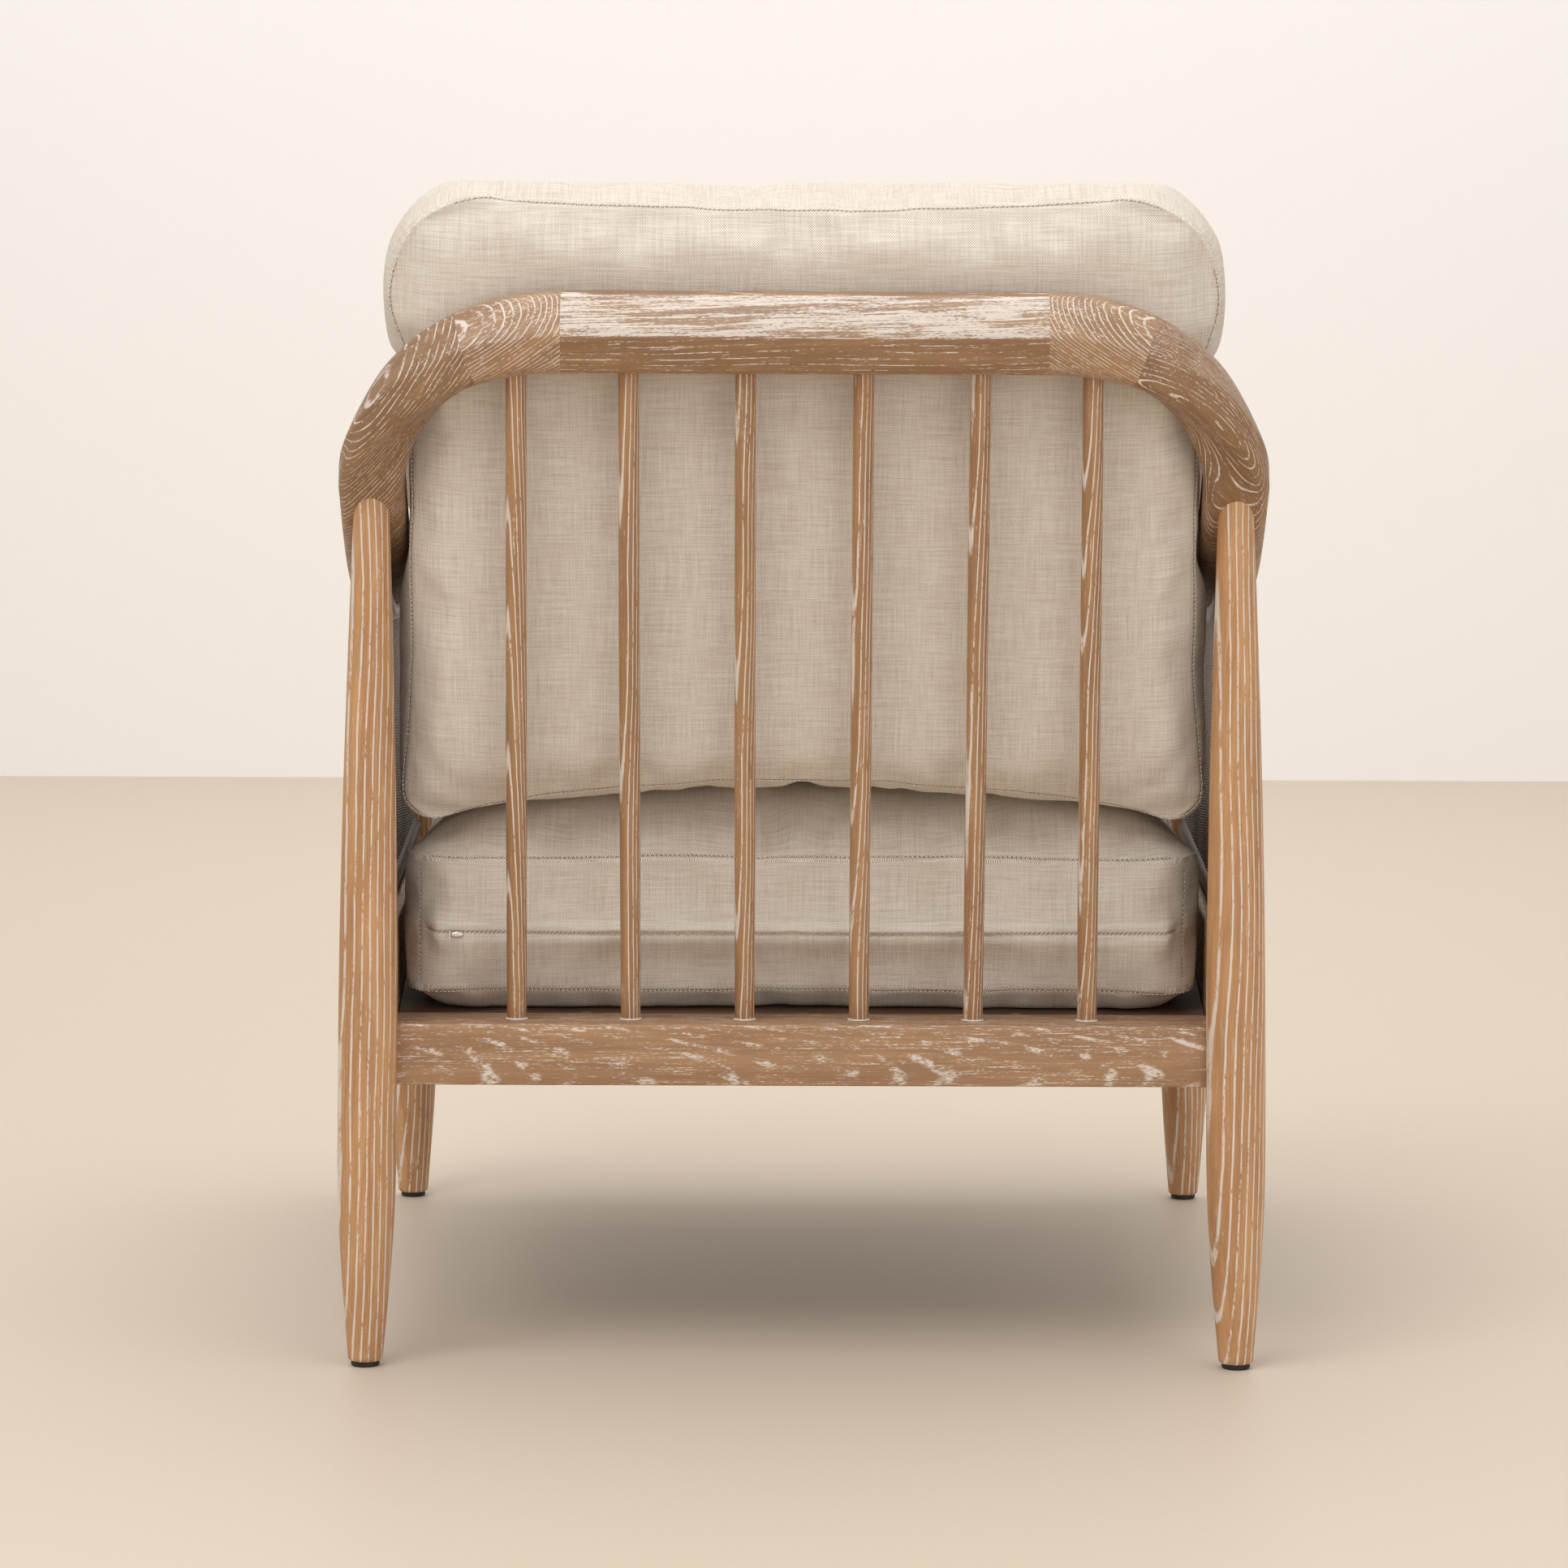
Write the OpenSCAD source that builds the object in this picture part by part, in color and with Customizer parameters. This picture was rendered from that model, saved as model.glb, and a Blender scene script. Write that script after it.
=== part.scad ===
// Wooden armchair with six back spindles, a bent crest rail that runs into the arms,
// woven cord sides and two loose boxed cushions.
// The chair faces -Y and stands on z = 0, centred on x = 0. Left is the sitter's left, +X.
// Each left-hand piece is modelled and its right-hand twin is its mirror image.

/* [Overall] */
// Front legs to rear legs, axis to axis
leg_depth = 650; // [540:5:790]
// Rear legs, axis to axis across the chair at the floor
rear_leg_spacing = 610; // [500:5:740]
// How much further out each front leg stands than the rear leg on its side
side_splay = 17; // [10:1:30]
// Middle of the crest rail above the floor
crest_height = 721; // [680:1:870]
// Middle of the arm above the floor at its front end
arm_height = 521; // [490:1:560]
// How far the arms reach past the front leg axes
arm_overhang = 30; // [25:1:60]

/* [Back] */
// Lean of the spindles and the back cushion from upright, in degrees
recline = 11; // [6:0.5:15]
// Front to back thickness of the crest rail
crest_depth = 40; // [36:1:48]
// Height of the crest rail's section
crest_section = 52; // [44:1:64]
// Length of one shoulder block along the crest rail
shoulder_length = 62; // [45:1:75]
// Number of spindles
spindle_count = 6; // [4:1:7]
// Spindle diameter
spindle_d = 14; // [11:0.5:18]
// Outermost spindle to rear leg axis
spindle_margin = 105; // [90:1:125]
// How much the outermost spindles lean in at the crest rail
spindle_fan = 5.5; // [0:0.5:8]

/* [Arms] */
// Width of the arm
arm_width = 45; // [38:1:54]
// Thickness of the arm
arm_thick = 38; // [32:1:44]

/* [Legs] */
// Diameter of a leg at the floor and at its top
leg_end_d = 23.2; // [20:0.2:28]
// Diameter of a leg at its thickest
leg_belly_d = 41.2; // [36:0.2:50]
// Height where the thickest part of a leg begins
leg_belly_low = 157; // [130:1:190]
// Height where the thickest part of a leg ends
leg_belly_high = 215; // [200:1:260]
// Inward lean of each rear leg, in degrees
rear_leg_lean = 0.71; // [0:0.01:1.5]

/* [Seat frame] */
// Underside of the rear and side rails above the floor
rail_bottom = 198; // [165:1:237]
// Height of the rear rail
rear_rail_height = 43; // [36:1:52]
// Front to back depth of the rear rail
rear_rail_depth = 56; // [47:1:67]
// Height of a side rail
side_rail_height = 105; // [100:1:126]
// Thickness of a side rail
side_rail_thick = 26; // [22:1:31]
// Height of the front rail
front_rail_height = 60; // [50:1:72]
// Thickness of the front rail
front_rail_thick = 30; // [25:1:36]
// Thickness of the seat board
board_thick = 12; // [9:1:15]
// Rise of the seat board towards the front, in degrees
deck_tilt = 4; // [2:0.5:6]

/* [Woven sides] */
// Diameter of the bars that the cord is wound on
weave_bar_d = 12; // [10:1:14]
// Diameter of the cord
cord_d = 3; // [2:0.5:4]
// Thickness of a woven side
weave_thick = 10; // [7:1:14]

/* [Cushions] */
// Thickness of the seat cushion
seat_cushion_thick = 142; // [118:1:170]
// Thickness of the back cushion
back_cushion_thick = 150; // [125:1:180]
// Top of the back cushion above the floor
back_height = 822; // [685:1:990]
// Thickness of the covers
cover_thick = 2; // [1:0.5:3]
// Length of the zip
zip_length = 500; // [420:5:600]

/* [Fits] */
// Gap all round a glued tenon, dowel or spindle end
glue_gap = 0.1; // [0.05:0.05:0.3]
// Gap between a shaped rail end and the leg it meets
scribe_gap = 0.2; // [0.1:0.05:0.5]
// Gap between a loose cushion and what it rests on
cushion_gap = 0.5; // [0.3:0.1:2]
// Gap between the cushions and the frame at their sides
side_gap = 9; // [6:1:14]

/* [Hidden] */
$fn = 64;

// Colours
oak = [0.72, 0.55, 0.40];
plywood = [0.42, 0.30, 0.22];
cord_brown = [0.30, 0.25, 0.22];
linen = [0.80, 0.75, 0.69];
foam_colour = [0.93, 0.90, 0.78];
steel = [0.62, 0.62, 0.64];
glide_black = [0.05, 0.05, 0.05];

// ---- Small helpers ----
function mix(a, b, t) = a + (b - a) * t;
function ease(t) = t * t * (3 - 2 * t);
function unit(v) = v / norm(v);
function bezier(p, t) = pow(1 - t, 3) * p[0] + 3 * t * pow(1 - t, 2) * p[1]
    + 3 * t * t * (1 - t) * p[2] + pow(t, 3) * p[3];
function bezier_dir(p, t) = unit(pow(1 - t, 2) * (p[1] - p[0])
    + 2 * t * (1 - t) * (p[2] - p[1]) + t * t * (p[3] - p[2]));
function arc(centre, r, from, to, steps) = [
    for (i = [0 : steps]) centre + r * [cos(mix(from, to, i / steps)), sin(mix(from, to, i / steps))]
];

// A round bar from one point to another
module rod(from, to, d) {
    run = to - from;
    translate(from)
        rotate([0, acos(run[2] / norm(run)), atan2(run[1], run[0])])
            cylinder(h = norm(run), d = d);
}

// A solid skinned over a list of rings, each with the same number of points
module skin(rings) {
    n = len(rings[0]);
    last = len(rings) - 1;
    sides = [
        for (i = [0 : last - 1], j = [0 : n - 1])
            each [
                [i * n + j, (i + 1) * n + j, (i + 1) * n + (j + 1) % n],
                [i * n + j, (i + 1) * n + (j + 1) % n, i * n + (j + 1) % n]
            ]
    ];
    first_cap = [for (j = [0 : n - 1]) j];
    last_cap = [for (j = [n - 1 : -1 : 0]) last * n + j];
    polyhedron(points = [for (ring = rings) each ring], faces = concat(sides, [first_cap, last_cap]));
}

// A flat outline with round corners, made of exact arcs
module round_rect(width, length, r) {
    square([width - 2 * r, length], center = true);
    square([width, length - 2 * r], center = true);
    for (x = [-1, 1], y = [-1, 1])
        translate([x * (width / 2 - r), y * (length / 2 - r)])
            circle(r);
}

// Draws its children and their mirror image
module both_sides() {
    children();
    mirror([1, 0, 0])
        children();
}

// ---- Where the main pieces stand ----
rail_top = rail_bottom + rear_rail_height;
elbow_rise = 81;
arm_rear_rise = 20;
bend_length = 230;
arm_rear_height = arm_height + arm_rear_rise;
elbow_height = arm_rear_height + elbow_rise;
front_x = rear_leg_spacing / 2 + side_splay;
side_rear_x = rear_leg_spacing / 2 - elbow_height * tan(rear_leg_lean);
side_angle = atan((front_x - side_rear_x) / leg_depth);
rear_rail_back = 2;
spindle_foot_setback = rear_rail_back + rear_rail_depth / 2 - 1;
crest_setback = (crest_height - rail_top) * tan(recline) - spindle_foot_setback;
ridge_height = 1;
crest_back = crest_setback + crest_depth / 2 * cos(recline) + ridge_height * sin(recline);
rear_y = (leg_depth + arm_overhang - crest_back) / 2;
front_y = rear_y - leg_depth;
crest_y = rear_y + crest_setback;
spindle_foot_y = rear_y - spindle_foot_setback;
function rear_leg_x(z) = rear_leg_spacing / 2 - z * tan(rear_leg_lean);
function side_x(y) = side_rear_x + (rear_y - y) * tan(side_angle);

// ---- The bow: crest rail, shoulders, elbows and arms follow one line ----
// Along it, u runs 0 to 1 round the elbow, 1 to 2 down to the arm and 2 to 3 along the arm.
elbow_reach = 141;
crest_half = rear_leg_spacing / 2 - elbow_reach;
elbow_slope = 51.5;
elbow_dir = [0, -cos(elbow_slope), -sin(elbow_slope)];
elbow_top = [crest_half, crest_y, crest_height];
elbow_post = [side_rear_x, rear_y, elbow_height];
arm_start = [side_x(rear_y - bend_length), rear_y - bend_length, arm_rear_height];
arm_end_y = front_y - arm_overhang;
arm_end = [side_x(arm_end_y), arm_end_y, arm_height];
arm_dir = unit(arm_end - arm_start);
elbow_curve = [elbow_top, elbow_top + [86, 0, 0], elbow_post - 61 * elbow_dir, elbow_post];
drop_curve = [elbow_post, elbow_post + 58 * elbow_dir, arm_start - 110 * arm_dir, arm_start];
function bow_point(u) = u < 1 ? bezier(elbow_curve, u)
    : u < 2 ? bezier(drop_curve, u - 1)
    : mix(arm_start, arm_end, u - 2);
function bow_dir(u) = u < 1 ? bezier_dir(elbow_curve, u)
    : u < 2 ? bezier_dir(drop_curve, u - 1)
    : arm_dir;
function bow_out(u) = -unit(cross(bow_dir(u), [0, 0, 1]));
function bow_up(u) = cross(bow_dir(u), bow_out(u));
function bow_lean(u) = recline * (1 - ease(min(u, 1)));
function bow_width_axis(u) = bow_out(u) * cos(bow_lean(u)) - bow_up(u) * sin(bow_lean(u));
function bow_height_axis(u) = bow_out(u) * sin(bow_lean(u)) + bow_up(u) * cos(bow_lean(u));

// Section of the bow: x is its outer or rear side, y is its top. The large bevel is at the
// rear top of the crest rail and turns into the eased outer edge of the arm.
bevel_height = crest_section / 2 - ridge_height;
bevel_depth = 21;
arm_bevel_height = 12;
arm_bevel_depth = 15;
bevel_bow = 2;
under_round = 9;
front_round = 7;
function bow_half_height(u) = mix(crest_section, arm_thick, ease(min(u, 1))) / 2;
function bow_half_width(u) = mix(crest_depth, arm_width, ease(min(u, 1))) / 2;
function bow_section(u) =
    let (
        turn = ease(min(u / 1.6, 1)),
        w = bow_half_width(u),
        h = bow_half_height(u),
        ridge = [w, h - mix(bevel_height, arm_bevel_height, turn)],
        brow = [w - mix(bevel_depth, arm_bevel_depth, turn), h],
        across = unit([ridge[1] - brow[1], brow[0] - ridge[0]]),
        bevel = [for (i = [0 : 4]) mix(ridge, brow, i / 4) - across * bevel_bow * i * (4 - i) / 4]
    )
    concat(
        arc([w - under_round, under_round - h], under_round, -90, 0, 5),
        bevel,
        arc([front_round - w, h - front_round], front_round, 90, 180, 4),
        arc([under_round - w, under_round - h], under_round, 180, 270, 5)
    );
function bow_ring(u, size = 1) = [
    for (p = bow_section(u))
        bow_point(u) + size * (p[0] * bow_width_axis(u) + p[1] * bow_height_axis(u))
];
arm_nose = 14;
arm_run = norm(arm_end - arm_start);
function nose_ring(turn) =
    let (back = arm_nose * (1 - sin(turn)), inset = arm_nose * (1 - cos(turn)))
    bow_ring(3 - back / arm_run, 1 - 2 * inset / arm_width);

// Joints in the bow, as values of u
shoulder_end = shoulder_length / 62 * 0.28;
elbow_end = 1.75;
elbow_steps = 26;
module bow_piece(from, to, steps) {
    skin([for (i = [0 : steps]) bow_ring(mix(from, to, i / steps))]);
}

// Dowels, two across each glued joint of the bow
dowel_d = 8;
dowel_length = 36;
dowel_offset = 9;
module joint_dowels(u, grow) {
    for (side = [-1, 1]) {
        middle = bow_point(u) + side * dowel_offset * bow_width_axis(u);
        reach = (dowel_length / 2 + grow) * bow_dir(u);
        rod(middle - reach, middle + reach, dowel_d + 2 * grow);
    }
}

// ---- Legs ----
glide_height = 4;
glide_d = 20;
glide_nail_d = 2.4;
glide_nail_length = 18;
rear_leg_top = elbow_height;
front_leg_top = arm_height - 4 + arm_rear_rise * arm_overhang / (leg_depth - bend_length);
function leg_r(z, top) = z < leg_belly_low
    ? mix(leg_end_d, leg_belly_d, sin(90 * max(z, 0) / leg_belly_low)) / 2
    : z <= leg_belly_high
    ? leg_belly_d / 2
    : mix(leg_belly_d, leg_end_d, 1 - cos(90 * (z - leg_belly_high) / (top - leg_belly_high))) / 2;
function leg_outline(top, grow) = concat(
    [[0, -5], [leg_end_d / 2 + grow, -5]],
    [for (i = [0 : 9]) let (z = leg_belly_low * i / 9) [leg_r(z, top) + grow, z]],
    [for (i = [0 : 12]) let (z = mix(leg_belly_high, top, i / 12)) [leg_r(z, top) + grow, z + grow]],
    [[0, top + grow]]
);
module leg_turning(top, grow) {
    rotate_extrude()
        polygon(leg_outline(top, grow));
}
module rear_leg_at(grow) {
    translate([rear_leg_spacing / 2, rear_y, 0])
        rotate([0, -rear_leg_lean, 0])
            leg_turning(rear_leg_top, grow);
}
module front_leg_at(grow) {
    translate([front_x, front_y, 0])
        leg_turning(front_leg_top, grow);
}
module below_legs() {
    translate([-front_x - 100, front_y - 100, glide_height - 50])
        cube([2 * front_x + 200, leg_depth + 200, 50]);
}
module glide_at(x, y) {
    translate([x, y, 0]) {
        cylinder(h = 1, d1 = glide_d - 2, d2 = glide_d);
        translate([0, 0, 1])
            cylinder(h = glide_height - 1, d = glide_d);
        cylinder(h = glide_height + glide_nail_length, d = glide_nail_d);
    }
}
module glide_nail_hole(x, y) {
    translate([x, y, 0])
        cylinder(h = glide_height + glide_nail_length + 1, d = glide_nail_d + 2 * glue_gap);
}

// ---- Rails ----
tenon_thick = 12;
rear_tenon_height = 28;
side_tenon_height = 40;
front_tenon_height = 36;
side_tenon_low_height = 20;
tenon_shoulder = 3;
// A box given by its least and greatest corners, grown on every side
module block(low, high, grow = 0) {
    translate(low - grow * [1, 1, 1])
        cube(high - low + 2 * grow * [1, 1, 1]);
}
rear_rail_y = rear_y - rear_rail_back;
rear_rail_front = rear_rail_y - rear_rail_depth;
rear_rail_half = side_x(rear_rail_front) - side_rail_thick / 2 - 2;
deck_drop = 2;
deck_back = rear_rail_front;
deck_back_z = rail_top - deck_drop;
function deck_z(y) = deck_back_z + (deck_back - y) * tan(deck_tilt);
front_rail_back = front_y + 18;
front_rail_top = deck_z(front_rail_back) - 0.5;
front_rail_half = front_x - 2;
module rear_tenon(grow) {
    x = rear_leg_x(rail_bottom);
    middle = (rail_bottom + rail_top) / 2;
    block([x - leg_belly_d / 2 - 4, rear_rail_y - 2 - tenon_thick, middle - rear_tenon_height / 2],
          [x - 2, rear_rail_y - 2, middle + rear_tenon_height / 2], grow);
}
module front_tenon(grow) {
    top = front_rail_top - tenon_shoulder;
    block([front_x - leg_belly_d / 2 - 4, front_y - tenon_thick / 2 + 1, top - front_tenon_height],
          [front_x - 2, front_y + tenon_thick / 2 + 1, top], grow);
}
// The frame of a side: its origin is on the rear leg and -Y runs to the front leg
module side_frame() {
    translate([side_rear_x, rear_y, 0])
        rotate([0, 0, side_angle])
            children();
}
side_run = leg_depth / cos(side_angle);
side_rail_top = rail_bottom + side_rail_height;
rear_side_tenon_z = side_rail_top - tenon_shoulder - side_tenon_height;
front_side_tenon_z = rail_bottom + tenon_shoulder;
module side_tenons(grow) {
    side_frame() {
        block([-tenon_thick / 2, -leg_belly_d / 2 - 4, rear_side_tenon_z],
              [tenon_thick / 2, -4, rear_side_tenon_z + side_tenon_height], grow);
        block([-tenon_thick / 2, 4 - side_run, front_side_tenon_z],
              [tenon_thick / 2, leg_belly_d / 2 + 4 - side_run, front_side_tenon_z + side_tenon_low_height],
              grow);
    }
}

// ---- Seat deck ----
// The frame of the deck: z = 0 is the top of the seat board and -Y runs to the front
module deck_frame() {
    translate([0, deck_back, deck_back_z])
        rotate([-deck_tilt, 0, 0])
            children();
}
module under_deck_only(depth) {
    difference() {
        children();
        deck_frame()
            translate([-front_x, -leg_depth, -depth])
                cube([2 * front_x, 2 * leg_depth, 200]);
    }
}
board_gap = 1;
cleat = 18;
cleat_gap = 0.3;
block_leg = 68;
block_height = 26;
function rail_inner_x(y) = side_x(y) - side_rail_thick / (2 * cos(side_angle));
module seat_board_blank() {
    back = deck_back - board_gap;
    front = front_rail_back + board_gap;
    deck_frame()
        translate([0, -deck_back, -board_thick])
            linear_extrude(board_thick)
                polygon([
                    [-rail_inner_x(back) + board_gap, back],
                    [rail_inner_x(back) - board_gap, back],
                    [rail_inner_x(front) - board_gap, front],
                    [board_gap - rail_inner_x(front), front]
                ]);
}
// Corner blocks, cut to the slope of the deck
module corner_block_blank(x, y, toward, low) {
    under_deck_only(board_thick + cleat_gap)
        translate([x, y, low])
            linear_extrude(2 * block_height)
                polygon([[0, 0], [-block_leg, 0], [-block_leg, toward * 8],
                         [-8, toward * block_leg], [0, toward * block_leg]]);
}
rear_block_x = rail_inner_x(deck_back) - cleat_gap;
rear_block_y = deck_back - cleat_gap;
rear_block_low = deck_back_z - board_thick - block_height;
front_block_x = rail_inner_x(front_rail_back + block_leg) - cleat_gap;
front_block_y = front_rail_back + cleat_gap;
front_block_low = deck_z(front_rail_back + block_leg) - board_thick - block_height;

// Screws: head, shank and the recess over the head, pointing along +Z from the head's top
screw_head_d = 8;
screw_head = 3;
screw_d = 4;
module screw(length) {
    cylinder(h = screw_head, d1 = screw_head_d, d2 = screw_d);
    cylinder(h = length, d = screw_d);
}
module screw_hole(length, recess) {
    translate([0, 0, -recess])
        cylinder(h = recess + 0.01, d = screw_head_d + 2 * glue_gap);
    cylinder(h = screw_head + glue_gap, d1 = screw_head_d + 2 * glue_gap, d2 = screw_d + 2 * glue_gap);
    cylinder(h = length + glue_gap, d = screw_d + 2 * glue_gap);
}
corner_screw_length = 34;
corner_screw_grip = 20;
corner_screw_in = 32;
// Places its children at the two screws of a corner block, one to each rail
module corner_screw_places(x, y, toward, low) {
    z = low + block_height / 2 - 3;
    translate([x - corner_screw_grip, y + toward * corner_screw_in, z])
        rotate([0, 90, 0])
            children();
    translate([x - corner_screw_in, y + toward * corner_screw_grip, z])
        rotate([toward * 90, 0, 0])
            children();
}
module all_corner_screws() {
    both_sides() {
        corner_screw_places(rear_block_x, rear_block_y, -1, rear_block_low)
            children();
        corner_screw_places(front_block_x, front_block_y, 1, front_block_low)
            children();
    }
}
board_screw_length = 26;
board_screw_edge = 9;
// Places its children at the seat board's screws, over the cleats
module board_screw_places() {
    for (share = [-0.5, 0, 0.5]) {
        deck_frame()
            translate([share * rear_leg_spacing / 2, -board_gap - board_screw_edge, 0])
                rotate([180, 0, 0])
                    children();
        deck_frame()
            translate([share * rear_leg_spacing / 2,
                       (front_rail_back - deck_back) / cos(deck_tilt) + board_gap + board_screw_edge, 0])
                rotate([180, 0, 0])
                    children();
    }
    both_sides()
        for (share = [0.3, 0.5, 0.7]) {
            y = mix(deck_back, front_rail_back, share);
            deck_frame()
                translate([rail_inner_x(y) - board_gap - board_screw_edge, (y - deck_back) / cos(deck_tilt), 0])
                    rotate([180, 0, 0])
                        children();
        }
}
module cross_cleat(y, toward) {
    half = rail_inner_x(y) - block_leg - 4;
    difference() {
        under_deck_only(board_thick + cleat_gap)
            translate([-half, min(y, y + toward * cleat), deck_z(y) - board_thick - cleat])
                cube([2 * half, cleat, 2 * cleat]);
        board_screw_places()
            screw_hole(board_screw_length, 1);
    }
}

// ---- Woven sides ----
weave_bar_socket = 12;
wound_d = weave_bar_d + 2 * cord_d;
lower_bar_z = side_rail_top + wound_d / 2 + 0.5;
upper_bar_gap = 0.4;
upper_bar_drop = arm_thick / 2 + weave_bar_d / 2 + upper_bar_gap;
module lower_bar_at(grow) {
    side_frame()
        translate([0, -leg_r(lower_bar_z, rear_leg_top) + weave_bar_socket, lower_bar_z])
            rotate([90, 0, 0])
                cylinder(h = side_run - 2 * (leg_r(lower_bar_z, rear_leg_top) - weave_bar_socket) + grow,
                         d = weave_bar_d + 2 * grow);
}
function upper_bar_point(u) = bow_point(u) - upper_bar_drop * bow_up(u);
upper_bar_from = 1.14;
upper_bar_to = 3 - arm_overhang / arm_run;
module upper_bar_at() {
    skin([
        for (i = [0 : 16])
            let (u = mix(upper_bar_from, upper_bar_to, i / 16))
            [for (a = [0 : 30 : 330])
                upper_bar_point(u) + weave_bar_d / 2 * (cos(a) * bow_out(u) + sin(a) * bow_up(u))]
    ]);
}
panel_leg_gap = 2;
panel_bar_gap = 0.6;
panel_from = leg_belly_d / 2 + panel_leg_gap;
panel_to = side_run - panel_from;
panel_low = lower_bar_z + weave_bar_d / 2 + panel_bar_gap;
// Top edge of the woven panel under the upper bar, as [distance along the side, height]
function panel_edge(u) =
    let (p = upper_bar_point(u) - (weave_bar_d / 2 + panel_bar_gap) * bow_up(u))
    [(rear_y - p[1]) / cos(side_angle), p[2]];
panel_top = [
    for (u = [1.2 : 0.05 : 3])
        let (p = panel_edge(u))
        if (p[0] > panel_from + 1 && p[0] < panel_to - 1) p
];
module cord_panel_blank() {
    first = panel_top[0];
    last = panel_top[len(panel_top) - 1];
    outline = concat(
        [[panel_to, last[1]], [panel_to, panel_low], [panel_from, panel_low], [panel_from, first[1]]],
        panel_top
    );
    side_frame()
        translate([-weave_thick / 2, 0, 0])
            rotate([90, 0, 90])
                linear_extrude(weave_thick)
                    mirror([1, 0])
                        polygon(outline);
}

// ---- Spindles ----
spindle_half = rear_leg_spacing / 2 - spindle_margin;
spindle_sink = 18;
function spindle_foot_x(i) = mix(-spindle_half, spindle_half, (i - 1) / (spindle_count - 1));
function spindle_shift(i) = -spindle_fan * pow(spindle_foot_x(i) / spindle_half, 3);
function spindle_foot(i) = [spindle_foot_x(i), spindle_foot_y, rail_top];
function spindle_head(i) = [spindle_foot_x(i) + spindle_shift(i), crest_y, crest_height];
module spindle_at(i, grow) {
    run = unit(spindle_head(i) - spindle_foot(i));
    rod(spindle_foot(i) - (spindle_sink + grow) * run,
        spindle_head(i) - (crest_section / 2 - spindle_sink - grow - 4) * run,
        spindle_d + 2 * grow);
}
module spindle(i) {
    if (i <= spindle_count)
        color(oak)
            spindle_at(i, 0);
}
module all_spindle_sockets() {
    for (i = [1 : spindle_count])
        spindle_at(i, glue_gap);
}

// ---- Cushions ----
seat_cushion_back = -4;
seat_cushion_front = deck_back - front_y + 22;
seat_cushion_width = 2 * (rail_inner_x(deck_back) - side_gap);
seat_cushion_round = 24;
seat_cushion_length = seat_cushion_front + seat_cushion_back;
module seat_cushion_body(inset) {
    deck_frame()
        translate([0, -(seat_cushion_front - seat_cushion_back) / 2, cushion_gap + inset])
            linear_extrude(seat_cushion_thick - 2 * inset)
                round_rect(seat_cushion_width - 2 * inset, seat_cushion_length - 2 * inset,
                           seat_cushion_round - inset);
}
// The frame of the back: z runs up along the lean of the spindles and +Y points rearwards
module back_frame() {
    translate([0, spindle_foot_y, rail_top])
        rotate([-recline, 0, 0])
            children();
}
back_cushion_gap = 6;
back_cushion_width = 2 * (side_rear_x - arm_width / 2 - 2);
back_cushion_round = 50;
back_corner_round = 65;
back_cushion_y = crest_depth / 2 + back_cushion_gap;
back_cushion_reach = (back_height - rail_top) / cos(recline);
back_corner_steps = 6;
// Front view of the back cushion: its two upper corners are rounded
function back_cushion_outline(half, top, r) = concat(
    [[-half, 0], [half, 0]],
    arc([half - r, top - r], r, 0, 90, back_corner_steps),
    arc([r - half, top - r], r, 90, 180, back_corner_steps)
);
module back_cushion_body(inset) {
    half = back_cushion_width / 2 - inset;
    thick = back_cushion_thick - 2 * inset;
    top = back_cushion_reach - inset;
    difference() {
        back_frame()
            intersection() {
                translate([0, -back_cushion_y - back_cushion_thick / 2, -1])
                    linear_extrude(back_cushion_reach + 10)
                        round_rect(2 * half, thick, back_cushion_round - inset);
                translate([0, thick, 0])
                    rotate([90, 0, 0])
                        linear_extrude(3 * back_cushion_thick)
                            polygon(back_cushion_outline(half + 1, top, back_corner_round - inset));
            }
        deck_frame()
            translate([-front_x, -leg_depth, -leg_depth])
                cube([2 * front_x, 2 * leg_depth,
                      leg_depth + seat_cushion_thick + 2 * cushion_gap + inset]);
        translate([-front_x, front_y, back_height - inset])
            cube([2 * front_x, 2 * leg_depth, back_cushion_thick]);
    }
}

// Zip along the middle of the seat cushion's rear band
zip_height = 14;
zip_thick = 1.2;
zip_gap = 0.1;
zip_z = cushion_gap + 0.44 * seat_cushion_thick;
slider_length = 12;
slider_height = 8;
slider_thick = 4.5;
module zip_frame() {
    deck_frame()
        translate([0, seat_cushion_back + zip_gap, zip_z])
            children();
}

// ---- Pieces ----
module rear_leg_left() {
    color(oak)
        difference() {
            rear_leg_at(0);
            below_legs();
            glide_nail_hole(rear_leg_spacing / 2, rear_y);
            rear_tenon(glue_gap);
            side_tenons(glue_gap);
            lower_bar_at(glue_gap);
        }
}
module front_leg_left() {
    color(oak)
        difference() {
            front_leg_at(0);
            below_legs();
            glide_nail_hole(front_x, front_y);
            front_tenon(glue_gap);
            side_tenons(glue_gap);
            lower_bar_at(glue_gap);
        }
}
module glide_rear_left() {
    color(glide_black)
        glide_at(rear_leg_spacing / 2, rear_y);
}
module glide_front_left() {
    color(glide_black)
        glide_at(front_x, front_y);
}
module crest_rail() {
    color(oak)
        difference() {
            translate([-crest_half, crest_y, crest_height])
                rotate([90, 0, 90])
                    linear_extrude(2 * crest_half)
                        rotate(-recline)
                            polygon(bow_section(0));
            all_spindle_sockets();
            both_sides()
                joint_dowels(0, glue_gap);
        }
}
module shoulder_left() {
    color(oak)
        difference() {
            bow_piece(0, shoulder_end, 8);
            all_spindle_sockets();
            joint_dowels(0, glue_gap);
            joint_dowels(shoulder_end, glue_gap);
        }
}
module elbow_left() {
    color(oak)
        difference() {
            bow_piece(shoulder_end, elbow_end, elbow_steps);
            rear_leg_at(glue_gap);
            joint_dowels(shoulder_end, glue_gap);
            joint_dowels(elbow_end, glue_gap);
        }
}
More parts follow.
